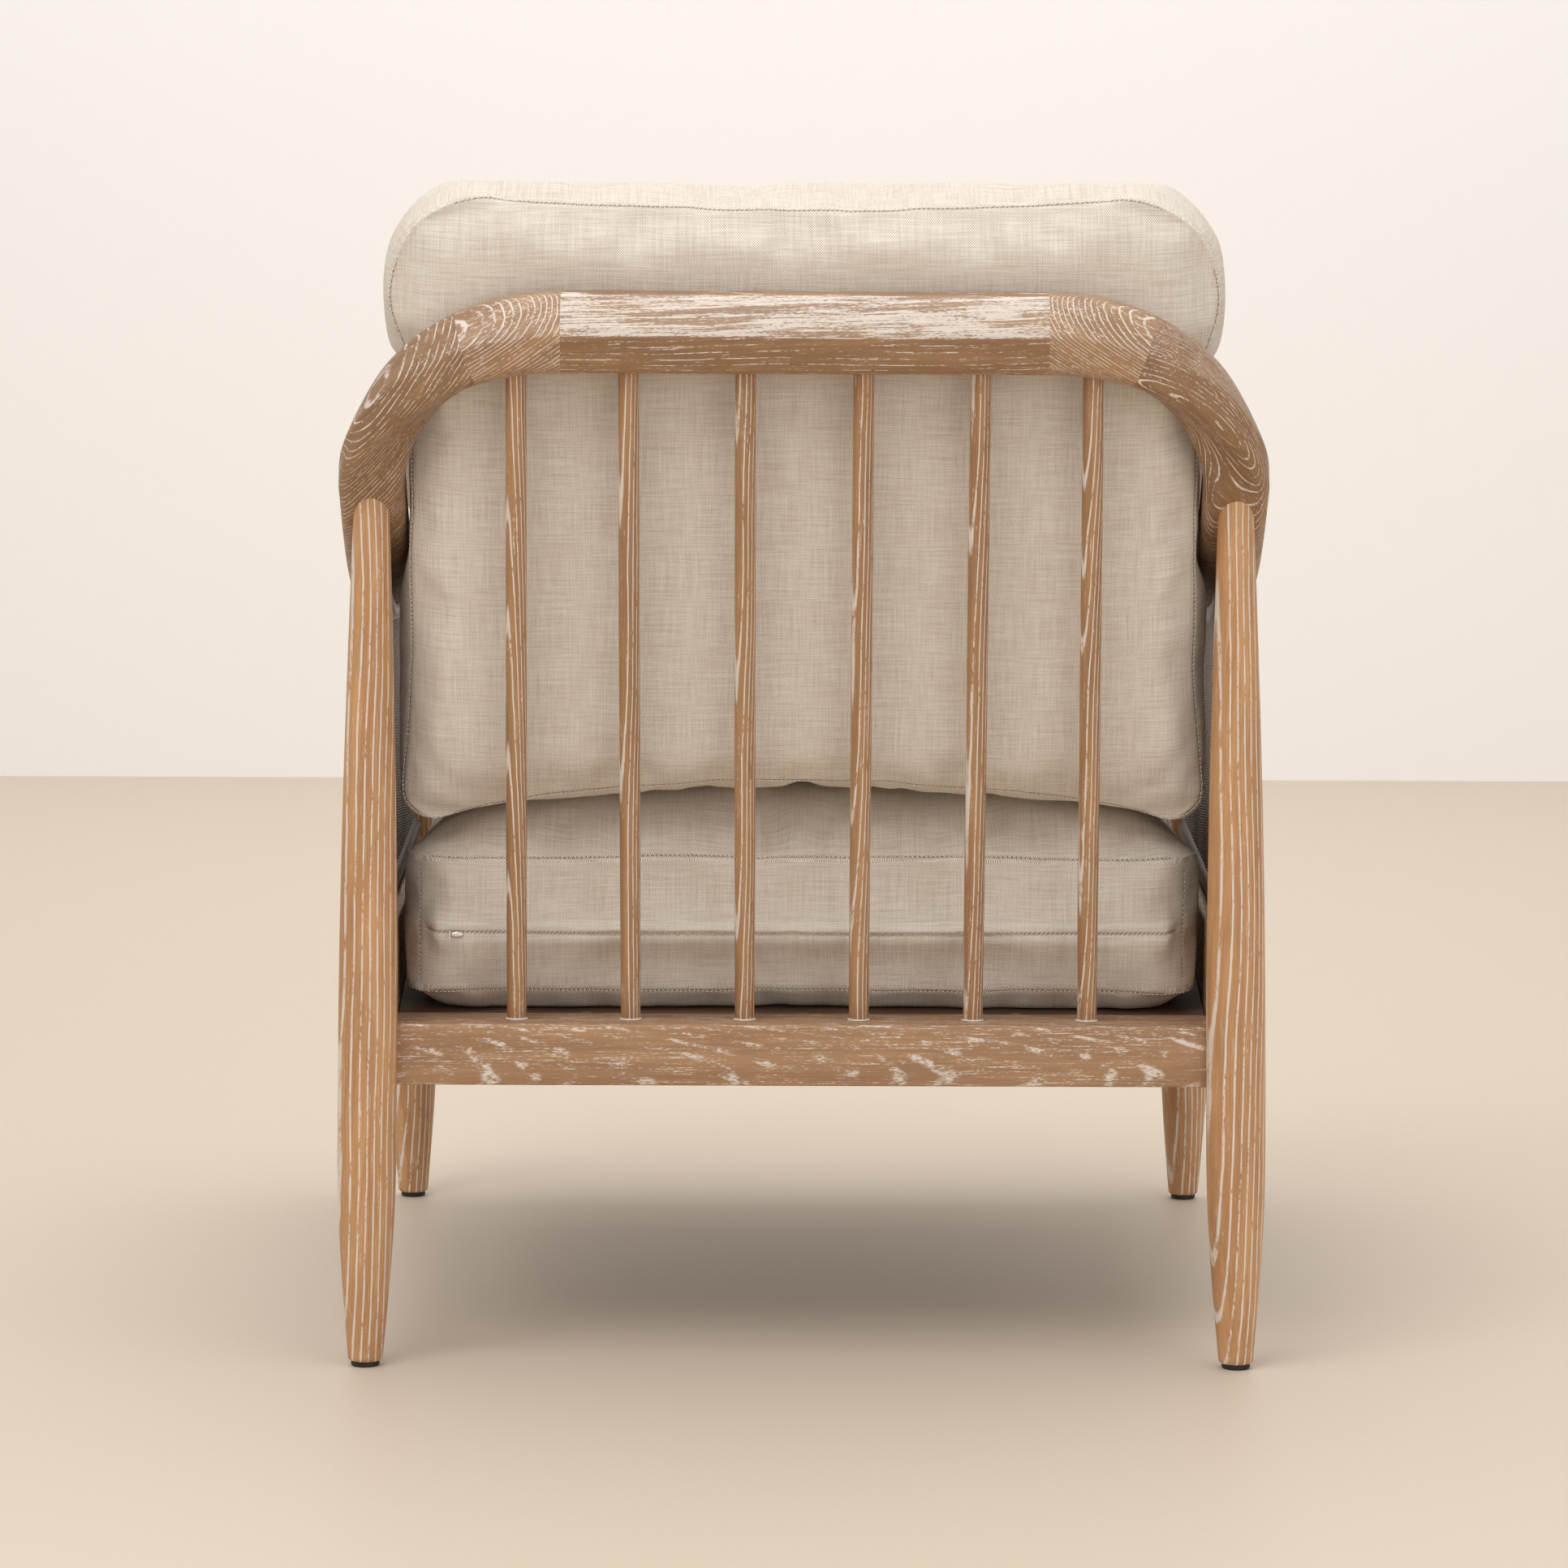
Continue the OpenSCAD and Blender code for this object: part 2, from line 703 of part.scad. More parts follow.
module arm_left() {
    color(oak)
        difference() {
            skin(concat(
                [for (i = [0 : 5]) bow_ring(mix(elbow_end, 2, i / 5))],
                [for (turn = [0 : 15 : 90]) nose_ring(turn)]
            ));
            front_leg_at(glue_gap);
            joint_dowels(elbow_end, glue_gap);
        }
}
module dowel_pairs(u) {
    color(oak)
        both_sides()
            joint_dowels(u, 0);
}
module crest_dowels() {
    dowel_pairs(0);
}
module shoulder_dowels() {
    dowel_pairs(shoulder_end);
}
module arm_dowels() {
    dowel_pairs(elbow_end);
}
module rear_rail() {
    color(oak)
        difference() {
            union() {
                difference() {
                    block([-rear_rail_half, rear_rail_front, rail_bottom],
                          [rear_rail_half, rear_rail_y, rail_top]);
                    both_sides() {
                        rear_leg_at(scribe_gap);
                        cross_rail_cut();
                    }
                }
                both_sides()
                    rear_tenon(0);
            }
            all_spindle_sockets();
            all_corner_screws()
                screw_hole(corner_screw_length, 0);
        }
}
module front_rail() {
    color(oak)
        difference() {
            union() {
                difference() {
                    block([-front_rail_half, front_rail_back - front_rail_thick, front_rail_top - front_rail_height],
                          [front_rail_half, front_rail_back, front_rail_top]);
                    both_sides() {
                        front_leg_at(scribe_gap);
                        cross_rail_cut();
                    }
                }
                both_sides()
                    front_tenon(0);
            }
            all_corner_screws()
                screw_hole(corner_screw_length, 0);
        }
}
// Takes the front and rear rails off where the side rail stands
module cross_rail_cut() {
    side_frame()
        translate([-side_rail_thick / 2 - scribe_gap, -side_run - leg_belly_d, 0])
            cube([4 * side_rail_thick, side_run + 2 * leg_belly_d, elbow_height]);
}
module side_rail_left() {
    color(oak)
        difference() {
            union() {
                difference() {
                    side_frame()
                        block([-side_rail_thick / 2, -side_run, rail_bottom],
                              [side_rail_thick / 2, 0, side_rail_top]);
                    rear_leg_at(scribe_gap);
                    front_leg_at(scribe_gap);
                    rear_tenon(scribe_gap);
                    front_tenon(scribe_gap);
                }
                side_tenons(0);
            }
            all_corner_screws()
                screw_hole(corner_screw_length, 0);
        }
}
module corner_block_rear_left() {
    color(oak)
        difference() {
            corner_block_blank(rear_block_x, rear_block_y, -1, rear_block_low);
            all_corner_screws()
                screw_hole(corner_screw_length, block_leg);
        }
}
module corner_block_front_left() {
    color(oak)
        difference() {
            corner_block_blank(front_block_x, front_block_y, 1, front_block_low);
            all_corner_screws()
                screw_hole(corner_screw_length, block_leg);
        }
}
module corner_screws() {
    color(steel)
        all_corner_screws()
            screw(corner_screw_length);
}
module cleat_rear() {
    color(oak)
        cross_cleat(deck_back - cleat_gap, -1);
}
module cleat_front() {
    color(oak)
        cross_cleat(front_rail_back + cleat_gap, 1);
}
module cleat_left() {
    from = deck_back - block_leg - 6;
    to = front_rail_back + block_leg + 6;
    run = (rear_y - from) / cos(side_angle);
    length = (from - to) / cos(side_angle);
    top = deck_z(from) - (board_thick + cleat_gap) / cos(deck_tilt);
    rise = length * cos(side_angle) * tan(deck_tilt);
    color(oak)
        difference() {
            side_frame()
                translate([-side_rail_thick / 2 - cleat_gap - cleat, -run, top])
                    rotate([90, 0, 90])
                        linear_extrude(cleat)
                            polygon([[0, 0], [0, -cleat], [-length, rise - cleat], [-length, rise]]);
            board_screw_places()
                screw_hole(board_screw_length, 1);
        }
}
module seat_board() {
    color(plywood)
        difference() {
            seat_board_blank();
            board_screw_places()
                screw_hole(board_screw_length, 1);
        }
}
module board_screws() {
    color(steel)
        board_screw_places()
            screw(board_screw_length);
}
module weave_bar_upper_left() {
    color(oak)
        difference() {
            upper_bar_at();
            rear_leg_at(scribe_gap);
            front_leg_at(scribe_gap);
        }
}
module weave_bar_lower_left() {
    color(oak)
        lower_bar_at(0);
}
module cord_panel_left() {
    color(cord_brown)
        cord_panel_blank();
}
module seat_cushion_cover() {
    color(linen)
        difference() {
            seat_cushion_body(0);
            seat_cushion_body(cover_thick);
        }
}
module seat_cushion_foam() {
    color(foam_colour)
        seat_cushion_body(cover_thick + cushion_gap);
}
module seat_zip_tape() {
    color(linen)
        zip_frame()
            translate([-zip_length / 2, 0, -zip_height / 2])
                cube([zip_length, zip_thick, zip_height]);
}
module seat_zip_slider() {
    color(steel)
        zip_frame()
            translate([zip_length / 2 - slider_length, zip_thick + zip_gap, -slider_height / 2])
                cube([slider_length, slider_thick, slider_height]);
}
module back_cushion_cover() {
    color(linen)
        difference() {
            back_cushion_body(0);
            back_cushion_body(cover_thick);
        }
}
module back_cushion_foam() {
    color(foam_colour)
        back_cushion_body(cover_thick + cushion_gap);
}

rear_leg_left();
mirror([1, 0, 0]) rear_leg_left();  // rear_leg_right
front_leg_left();
mirror([1, 0, 0]) front_leg_left();  // front_leg_right
glide_rear_left();
mirror([1, 0, 0]) glide_rear_left();  // glide_rear_right
glide_front_left();
mirror([1, 0, 0]) glide_front_left();  // glide_front_right
crest_rail();
shoulder_left();
mirror([1, 0, 0]) shoulder_left();  // shoulder_right
elbow_left();
mirror([1, 0, 0]) elbow_left();  // elbow_right
arm_left();
mirror([1, 0, 0]) arm_left();  // arm_right
crest_dowels();
shoulder_dowels();
arm_dowels();
spindle(1);  // spindle_1
spindle(2);  // spindle_2
spindle(3);  // spindle_3
spindle(4);  // spindle_4
spindle(5);  // spindle_5
spindle(6);  // spindle_6
rear_rail();
front_rail();
side_rail_left();
mirror([1, 0, 0]) side_rail_left();  // side_rail_right
corner_block_rear_left();
mirror([1, 0, 0]) corner_block_rear_left();  // corner_block_rear_right
corner_block_front_left();
mirror([1, 0, 0]) corner_block_front_left();  // corner_block_front_right
corner_screws();
cleat_rear();
cleat_front();
cleat_left();
mirror([1, 0, 0]) cleat_left();  // cleat_right
seat_board();
board_screws();
weave_bar_upper_left();
mirror([1, 0, 0]) weave_bar_upper_left();  // weave_bar_upper_right
weave_bar_lower_left();
mirror([1, 0, 0]) weave_bar_lower_left();  // weave_bar_lower_right
cord_panel_left();
mirror([1, 0, 0]) cord_panel_left();  // cord_panel_right
seat_cushion_cover();
seat_cushion_foam();
seat_zip_tape();
seat_zip_slider();
back_cushion_cover();
back_cushion_foam();
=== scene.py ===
"""Looks of the wooden armchair: limed oak frame, woven cord sides and two linen cushions."""

import json
import math

import bmesh
import bpy
import numpy as np
from mathutils import Matrix, Quaternion, Vector
from mathutils.kdtree import KDTree


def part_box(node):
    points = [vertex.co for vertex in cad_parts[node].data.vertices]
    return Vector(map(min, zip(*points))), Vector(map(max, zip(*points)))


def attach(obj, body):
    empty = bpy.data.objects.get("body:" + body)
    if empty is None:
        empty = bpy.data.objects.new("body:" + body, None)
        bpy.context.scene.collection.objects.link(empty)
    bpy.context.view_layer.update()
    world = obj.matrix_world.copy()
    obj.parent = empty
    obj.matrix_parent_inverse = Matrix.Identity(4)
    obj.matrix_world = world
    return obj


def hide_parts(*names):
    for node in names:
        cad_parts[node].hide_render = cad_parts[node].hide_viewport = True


bl_info = {
    "name": "Wooden armchair",
    "version": (1, 0, 0),
    "blender": (4, 5, 0),
    "location": "View3D > Sidebar > Armchair",
    "description": "Builds the looks of the armchair around its packed frame, piece by piece",
    "category": "Object",
}

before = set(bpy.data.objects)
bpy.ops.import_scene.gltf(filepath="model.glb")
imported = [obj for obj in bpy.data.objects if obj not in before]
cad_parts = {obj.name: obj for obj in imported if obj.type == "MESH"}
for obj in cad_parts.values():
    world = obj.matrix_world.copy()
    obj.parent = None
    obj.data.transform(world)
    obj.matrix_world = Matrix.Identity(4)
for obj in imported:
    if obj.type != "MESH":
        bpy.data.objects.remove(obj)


# ---- Settings ----
def length(name, description, default):
    return bpy.props.FloatProperty(
        name=name, description=description, default=default, unit="LENGTH", precision=4
    )


def angle(name, description, default):
    return bpy.props.FloatProperty(
        name=name, description=description, default=math.radians(default), unit="ROTATION"
    )


def whole(name, description, default, least=1):
    return bpy.props.IntProperty(name=name, description=description, default=default, min=least)


def colour(name, description, default):
    return bpy.props.FloatVectorProperty(
        name=name, description=description, default=default, subtype="COLOR", size=3, min=0, max=1
    )


class ArmchairWood(bpy.types.PropertyGroup):
    """Sizes and colours of the oak frame"""

    crest_height: length("Crest height", "Floor to the middle of the crest rail", 0.721)
    crest_y: length("Crest position", "How far back the middle of the crest rail is", 0.362239)
    crest_half: length("Crest half length", "Middle of the crest rail to its joint", 0.164)
    crest_depth: length("Crest depth", "Front to back of the crest rail", 0.040)
    crest_section: length("Crest section", "Height of the crest rail's section", 0.052)
    recline: angle("Recline", "Lean of the back", 11)
    elbow_height: length("Elbow height", "Floor to the middle of the bow over a rear leg", 0.622)
    arm_rear_height: length("Arm rear height", "Floor to the middle of the arm at its rear", 0.541)
    arm_height: length("Arm height", "Floor to the middle of the arm at its front", 0.521)
    arm_width: length("Arm width", "Width of an arm", 0.045)
    arm_thick: length("Arm thickness", "Height of an arm's section", 0.038)
    arm_overhang: length("Arm overhang", "How far an arm runs past the front leg", 0.030)
    bend_length: length("Bend length", "Rear leg to where the arm becomes straight", 0.230)
    side_rear_x: length("Side line", "Half width of the frame over a rear leg", 0.297292)
    rear_foot_x: length("Rear foot", "Half spacing of the rear legs at the floor", 0.305)
    front_x: length("Front leg", "Half spacing of the front legs", 0.322)
    rear_y: length("Rear legs", "Position of the rear legs' axis", 0.297937)
    front_y: length("Front legs", "Position of the front legs' axis", -0.352063)
    leg_lean: angle("Leg lean", "Inward lean of the rear legs", 0.71)
    leg_end: length("Leg end", "Diameter of a leg at its ends", 0.0232)
    leg_belly: length("Leg belly", "Diameter of a leg at its belly", 0.0412)
    belly_low: length("Belly low", "Where the belly starts", 0.157)
    belly_high: length("Belly high", "Where the belly ends", 0.215)
    rail_top: length("Rear rail top", "Floor to the top of the rear rail", 0.241)
    spindle_d: length("Spindle diameter", "Diameter of a back spindle", 0.0145)
    spindle_half: length("Spindle spread", "Middle to the outermost spindle", 0.200)
    spindle_count: whole("Spindles", "Number of back spindles", 6, 2)
    brown: colour("Oak", "Oak between the pores", (0.475, 0.258, 0.115))
    dark: colour("Dark oak", "Darkest streaks of the oak", (0.325, 0.160, 0.068))
    lime: colour("Lime", "Pale filler in the open grain", (0.80, 0.73, 0.66))


class ArmchairWeave(bpy.types.PropertyGroup):
    """Sizes and colours of the woven sides"""

    cord_d: length("Cord", "Diameter of the woven cord", 0.0030)
    row_pitch: length("Row pitch", "Height of one row of cord", 0.0031)
    warp_pitch: length("Warp pitch", "Spacing of the upright cords", 0.0115)
    swing: length("Swing", "How far a cord passes to either side of the uprights", 0.0026)
    bar_d: length("Bar", "Diameter of a weaving bar", 0.012)
    lower_bar_z: length("Lower bar", "Floor to the lower bar", 0.3125)
    bar_drop: length("Bar drop", "Arm's middle to the upper bar", 0.0251)
    cord: colour("Cord", "Colour of the cord", (0.150, 0.105, 0.083))
    # Painted highlight: the lighter colour drawn on the crests of the cord's strands.
    cord_strand_highlight: colour("Cord light", "Lighter strands of the cord", (0.300, 0.235, 0.205))


class ArmchairCushions(bpy.types.PropertyGroup):
    """Sizes and colours of the cushions"""

    step: length("Mesh step", "Spacing of the cover's mesh", 0.0076)
    seam_groove: length("Seam groove", "Depth of a seam", 0.0014)
    crown_limit: length("Crown limit", "Furthest that filling pushes the cover", 0.026)
    stitch: length("Stitch", "Length of a stitch", 0.0031)
    zip_z: length("Zip height", "Seat board to the zip", 0.060)
    linen: colour("Linen", "Raised threads of the cover", (0.90, 0.845, 0.775))
    linen_gap: colour("Linen gap", "Tan between the threads", (0.47, 0.37, 0.275))
    metal: colour("Zip metal", "Zip slider", (0.80, 0.78, 0.74))


class ArmchairStage(bpy.types.PropertyGroup):
    """Camera, light and floor"""

    lens: bpy.props.FloatProperty(
        name="Lens", description="Focal length", default=109.2, unit="CAMERA"
    )
    camera: bpy.props.FloatVectorProperty(
        name="Camera", description="Where the camera stands", default=(0.013, 3.576, 0.729), unit="LENGTH"
    )
    pitch: angle("Pitch", "How far the camera looks down", 5.56)
    roll: angle("Roll", "Turn of the camera about its own line of sight", 0.2)
    floor: colour("Floor", "Floor", (0.70, 0.60, 0.49))
    wall: colour("Wall", "Backdrop", (0.93, 0.91, 0.89))


# ---- Small helpers ----
def settings(name):
    return getattr(bpy.context.scene, "armchair_" + name)


def unit(v):
    v = np.asarray(v, float)
    return v / np.linalg.norm(v, axis=-1, keepdims=True)


def ease(t):
    t = np.clip(t, 0, 1)
    return t * t * (3 - 2 * t)


def mix(a, b, t):
    return a + (b - a) * t


def make(name, verts, faces, material, body="frame", replaces=(), sharp=None):
    """A piece from points and faces, riding on a body and standing for CAD nodes."""
    mesh = bpy.data.meshes.new(name)
    mesh.from_pydata([tuple(map(float, v)) for v in verts], [], [tuple(map(int, f)) for f in faces])
    mesh.validate()
    tidy = bmesh.new()
    tidy.from_mesh(mesh)
    bmesh.ops.recalc_face_normals(tidy, faces=tidy.faces)
    tidy.to_mesh(mesh)
    tidy.free()
    obj = bpy.data.objects.new(name, mesh)
    bpy.context.scene.collection.objects.link(obj)
    return dress(obj, material, body, replaces, sharp)


def dress(obj, material, body="frame", replaces=(), sharp=None):
    """Gives a piece its material, smooth shading and body, and hides the CAD nodes it replaces."""
    mesh = obj.data
    if material is not None:
        mesh.materials.clear()
        mesh.materials.append(material)
    mesh.shade_smooth()
    if sharp is not None:
        mesh.set_sharp_from_angle(angle=math.radians(sharp))
    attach(obj, body)
    if replaces:
        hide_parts(*replaces)
    return obj


def points_of(mesh):
    co = np.zeros(len(mesh.vertices) * 3)
    mesh.vertices.foreach_get("co", co)
    return co.reshape(-1, 3)


def set_points(mesh, co):
    mesh.vertices.foreach_set("co", np.asarray(co, np.float64).reshape(-1))
    mesh.update()


def set_attribute(mesh, name, kind, values, domain="POINT"):
    attribute = mesh.attributes.get(name) or mesh.attributes.new(name, kind, domain)
    field = {"FLOAT": "value", "FLOAT_VECTOR": "vector", "FLOAT_COLOR": "color"}[kind]
    attribute.data.foreach_set(field, np.asarray(values, np.float32).reshape(-1))


def set_grain(obj, along, shift, lime=1.0, heart=(0, 0, 1), ring=0.0045, cut=(0, 0, 0), middle=(0, 0, 0)):
    """Stores where each point lies in the plank it was cut from: first along the grain, last
    across the growth rings, which face the way of heart. cut tells how well the lines are filled,
    how much lighter the wood is than the average and how far the plank is flat-sawn."""
    a = unit(along)
    b = unit(np.cross(np.asarray(heart, float), a))
    c = np.cross(a, b)
    co = points_of(obj.data) - np.asarray(middle, float)
    grain = np.stack([co @ a, co @ b, co @ c], 1) + np.asarray(shift, float)
    set_attribute(obj.data, "grain", "FLOAT_VECTOR", grain)
    set_attribute(obj.data, "lime", "FLOAT", np.broadcast_to(np.asarray(lime, float), len(co)))
    set_attribute(obj.data, "ring", "FLOAT", np.full(len(co), ring))
    set_attribute(obj.data, "cut", "FLOAT_VECTOR", np.tile(np.asarray(cut, float), (len(co), 1)))


def rings_mesh(rings, close=True):
    """Faces of a skin over rings of equally many points, with both ends closed by fans."""
    rings = [np.asarray(r, float) for r in rings]
    n = len(rings[0])
    verts = np.concatenate(rings)
    faces = []
    for i in range(len(rings) - 1):
        for j in range(n):
            k = (j + 1) % n
            faces.append((i * n + j, i * n + k, (i + 1) * n + k, (i + 1) * n + j))
    if close:
        for base, ring in ((0, rings[0]), ((len(rings) - 1) * n, rings[-1])):
            centre = len(verts)
            verts = np.concatenate([verts, ring.mean(0)[None]])
            for j in range(n):
                faces.append((centre, base + j, base + (j + 1) % n))
    return verts, faces


# ---- Node trees ----
class Tree:
    """Adds nodes to a tree; an input takes a value or another node's output."""

    def __init__(self, tree):
        self.tree = tree

    def node(self, kind, inputs=None, **options):
        made = self.tree.nodes.new(kind)
        for key, value in options.items():
            setattr(made, key, value)
        for key, value in (inputs or {}).items():
            self.feed(made.inputs[key], value)
        return made

    def feed(self, socket, value):
        if isinstance(value, bpy.types.NodeSocket):
            self.tree.links.new(value, socket)
        elif isinstance(value, bpy.types.Node):
            self.tree.links.new(value.outputs[0], socket)
        else:
            socket.default_value = value

    def math(self, operation, *values, clamp=False):
        made = self.tree.nodes.new("ShaderNodeMath")
        made.operation = operation
        made.use_clamp = clamp
        for i, value in enumerate(values):
            self.feed(made.inputs[i], value)
        return made.outputs[0]

    def vector(self, operation, *values, scale=None):
        made = self.tree.nodes.new("ShaderNodeVectorMath")
        made.operation = operation
        for i, value in enumerate(values):
            self.feed(made.inputs[i], value)
        if scale is not None:
            self.feed(made.inputs["Scale"], scale)
        return made.outputs[0]

    def step(self, value, low, high):
        """0 below low, 1 above high and a smooth rise between."""
        made = self.tree.nodes.new("ShaderNodeMapRange")
        made.interpolation_type = "SMOOTHSTEP"
        self.feed(made.inputs[0], value)
        self.feed(made.inputs[1], low)
        self.feed(made.inputs[2], high)
        return made.outputs[0]

    def blend(self, factor, a, b, how="MIX"):
        made = self.tree.nodes.new("ShaderNodeMix")
        made.data_type = "RGBA"
        made.blend_type = how
        self.feed(made.inputs[0], factor)
        self.feed(made.inputs[6], a)
        self.feed(made.inputs[7], b)
        return made.outputs[2]

    def parts(self, vector):
        made = self.tree.nodes.new("ShaderNodeSeparateXYZ")
        self.feed(made.inputs[0], vector)
        return made.outputs

    def join(self, x, y, z):
        made = self.tree.nodes.new("ShaderNodeCombineXYZ")
        for i, value in enumerate((x, y, z)):
            self.feed(made.inputs[i], value)
        return made.outputs[0]

    def noise(self, vector, scale, detail=2.0, rough=0.5):
        made = self.tree.nodes.new("ShaderNodeTexNoise")
        self.feed(made.inputs["Vector"], vector)
        self.feed(made.inputs["Scale"], scale)
        self.feed(made.inputs["Detail"], detail)
        self.feed(made.inputs["Roughness"], rough)
        return made.outputs[0]

    def bump(self, height, distance, strength=1.0, normal=None):
        made = self.tree.nodes.new("ShaderNodeBump")
        self.feed(made.inputs["Height"], height)
        self.feed(made.inputs["Distance"], distance)
        self.feed(made.inputs["Strength"], strength)
        if normal is not None:
            self.feed(made.inputs["Normal"], normal)
        return made.outputs[0]


def rgba(c):
    return (c[0], c[1], c[2], 1.0)


def look(name):
    """One of the chair's own materials."""
    return bpy.data.materials["armchair_" + name]


def new_material(name):
    material = bpy.data.materials.new("armchair_" + name)
    material.use_nodes = True
    tree = material.node_tree
    tree.nodes.clear()
    out = tree.nodes.new("ShaderNodeOutputMaterial")
    shader = tree.nodes.new("ShaderNodeBsdfPrincipled")
    tree.links.new(shader.outputs[0], out.inputs[0])
    return material, Tree(tree), shader


def oak_material(name, wood, filled=True):
    """Straight-grained oak cut from a plank: pale filler sits in the open grain of each growth ring.
    Reads the stored grain position, first along the grain and then across it twice, the ring
    spacing and how much filler was left on that face."""
    material, t, shader = new_material(name)
    if filled:
        grain = t.node("ShaderNodeAttribute", attribute_name="grain").outputs["Vector"]
        lime = t.node("ShaderNodeAttribute", attribute_name="lime").outputs["Fac"]
        spacing = t.node("ShaderNodeAttribute", attribute_name="ring").outputs["Fac"]
        cut = t.node("ShaderNodeAttribute", attribute_name="cut").outputs["Vector"]
        line, light, flame = t.parts(cut)[0:3]
    else:
        grain = t.node("ShaderNodeTexCoord").outputs["Object"]
        lime, spacing, line, light, flame = 0.0, 0.0045, 0.0, 0.0, 0.0
    slow = t.noise(t.vector("MULTIPLY", grain, (3.0, 11.0, 11.0)), 1.0, 2.0, 0.5)
    wobble = t.noise(t.vector("MULTIPLY", grain, (38.0, 160.0, 160.0)), 1.0, 2.0, 0.5)
    reach = t.math("MULTIPLY_ADD", flame, 0.022, 0.016)
    wander = t.math("ADD", t.math("MULTIPLY", t.math("SUBTRACT", slow, 0.5), reach),
                    t.math("MULTIPLY", t.math("SUBTRACT", wobble, 0.5), 0.0011))
    x, y, z = t.parts(grain)[0:3]
    bent = t.math("MULTIPLY", t.math("MULTIPLY", y, y), t.math("MULTIPLY_ADD", flame, 9.0, 1.6))
    bent = t.math("ADD", bent, t.math("MULTIPLY", t.math("MULTIPLY", x, flame), 0.11))
    ring = t.math("DIVIDE", t.math("ADD", t.math("ADD", z, wander), bent), spacing)
    share = t.math("FRACT", ring)
    which = t.math("FLOOR", ring)
    beads = t.noise(t.vector("MULTIPLY", grain, (300.0, 1500.0, 1500.0)), 1.0, 2.0, 0.6)
    along_ring = t.vector("MULTIPLY", t.join(x, y, which), (46.0, 90.0, 3.7))
    dashes = t.noise(along_ring, 1.0, 2.0, 0.6)
    streak = t.noise(t.vector("MULTIPLY", grain, (30.0, 900.0, 900.0)), 1.0, 3.0, 0.65)
    tone = t.noise(t.vector("MULTIPLY", grain, (6.0, 90.0, 90.0)), 1.0, 3.0, 0.55)
    wide = t.math("MULTIPLY", t.math("MAXIMUM", line, t.math("MULTIPLY", flame, 2.4)), 0.06)
    width = t.math("ADD", t.math("MULTIPLY_ADD", lime, 0.06, 0.095), wide)
    centre = t.math("ABSOLUTE", t.math("SUBTRACT", share, 0.30))
    early = t.math("SUBTRACT", 1.0, t.step(centre, t.math("MULTIPLY", width, 0.35), width))
    mellow = t.step(t.math("ADD", t.math("MULTIPLY", tone, 0.6), t.math("MULTIPLY", streak, 0.4)), 0.34, 0.68)
    base = t.blend(mellow, rgba(wood.dark), rgba(wood.brown))
    gain = t.math("ADD", light, 1.0)
    base = t.vector("MULTIPLY", base, t.join(gain, gain, gain))
    if filled:
        gate = t.math("ADD", t.math("MULTIPLY", dashes, 0.55), t.math("MULTIPLY", beads, 0.45))
        gate = t.math("MULTIPLY_ADD", lime, 0.10, t.math("MULTIPLY_ADD", line, 0.12, gate))
        packed = t.math("MULTIPLY", early, t.step(gate, 0.49, 0.60))
        patch = t.step(t.noise(t.vector("MULTIPLY", grain, (11.0, 75.0, 75.0)), 1.0, 2.0, 0.5), 0.30, 0.62)
        grit = t.math("ADD", t.math("MULTIPLY", beads, 0.40), t.math("MULTIPLY", streak, 0.60))
        bare = t.math("MULTIPLY", t.math("MULTIPLY", lime, 0.235), t.math("MULTIPLY_ADD", patch, 0.6, 0.4))
        loose = t.step(t.math("ADD", grit, bare), 0.615, 0.70)
        fill = t.math("MAXIMUM", t.math("MULTIPLY", packed, 0.95), t.math("MULTIPLY", loose, 0.85))
        cover = t.math("MAXIMUM", t.math("MULTIPLY", fill, 0.93), t.math("MULTIPLY", lime, 0.16))
        colour = t.blend(cover, base, rgba(wood.lime))
        t.feed(shader.inputs["Roughness"], 0.44)
        t.feed(shader.inputs["Normal"], t.bump(fill, 0.00010, 0.5))
    else:
        colour = t.blend(t.math("MULTIPLY", early, 0.35), base, rgba(wood.brown))
        t.feed(shader.inputs["Roughness"], 0.6)
        t.feed(shader.inputs["Normal"], t.bump(streak, 0.00012, 0.4))
    t.feed(shader.inputs["Base Color"], colour)
    shader.inputs["Specular IOR Level"].default_value = 0.42
    return material


def plywood_material(name):
    """Dark stained plywood of the seat board."""
    material, t, shader = new_material(name)
    place = t.node("ShaderNodeTexCoord").outputs["Object"]
    streak = t.noise(t.vector("MULTIPLY", place, (8.0, 160.0, 160.0)), 1.0, 3.0, 0.6)
    colour = t.blend(t.step(streak, 0.3, 0.7), (0.090, 0.050, 0.030, 1), (0.165, 0.098, 0.062, 1))
    t.feed(shader.inputs["Base Color"], colour)
    shader.inputs["Roughness"].default_value = 0.62
    return material


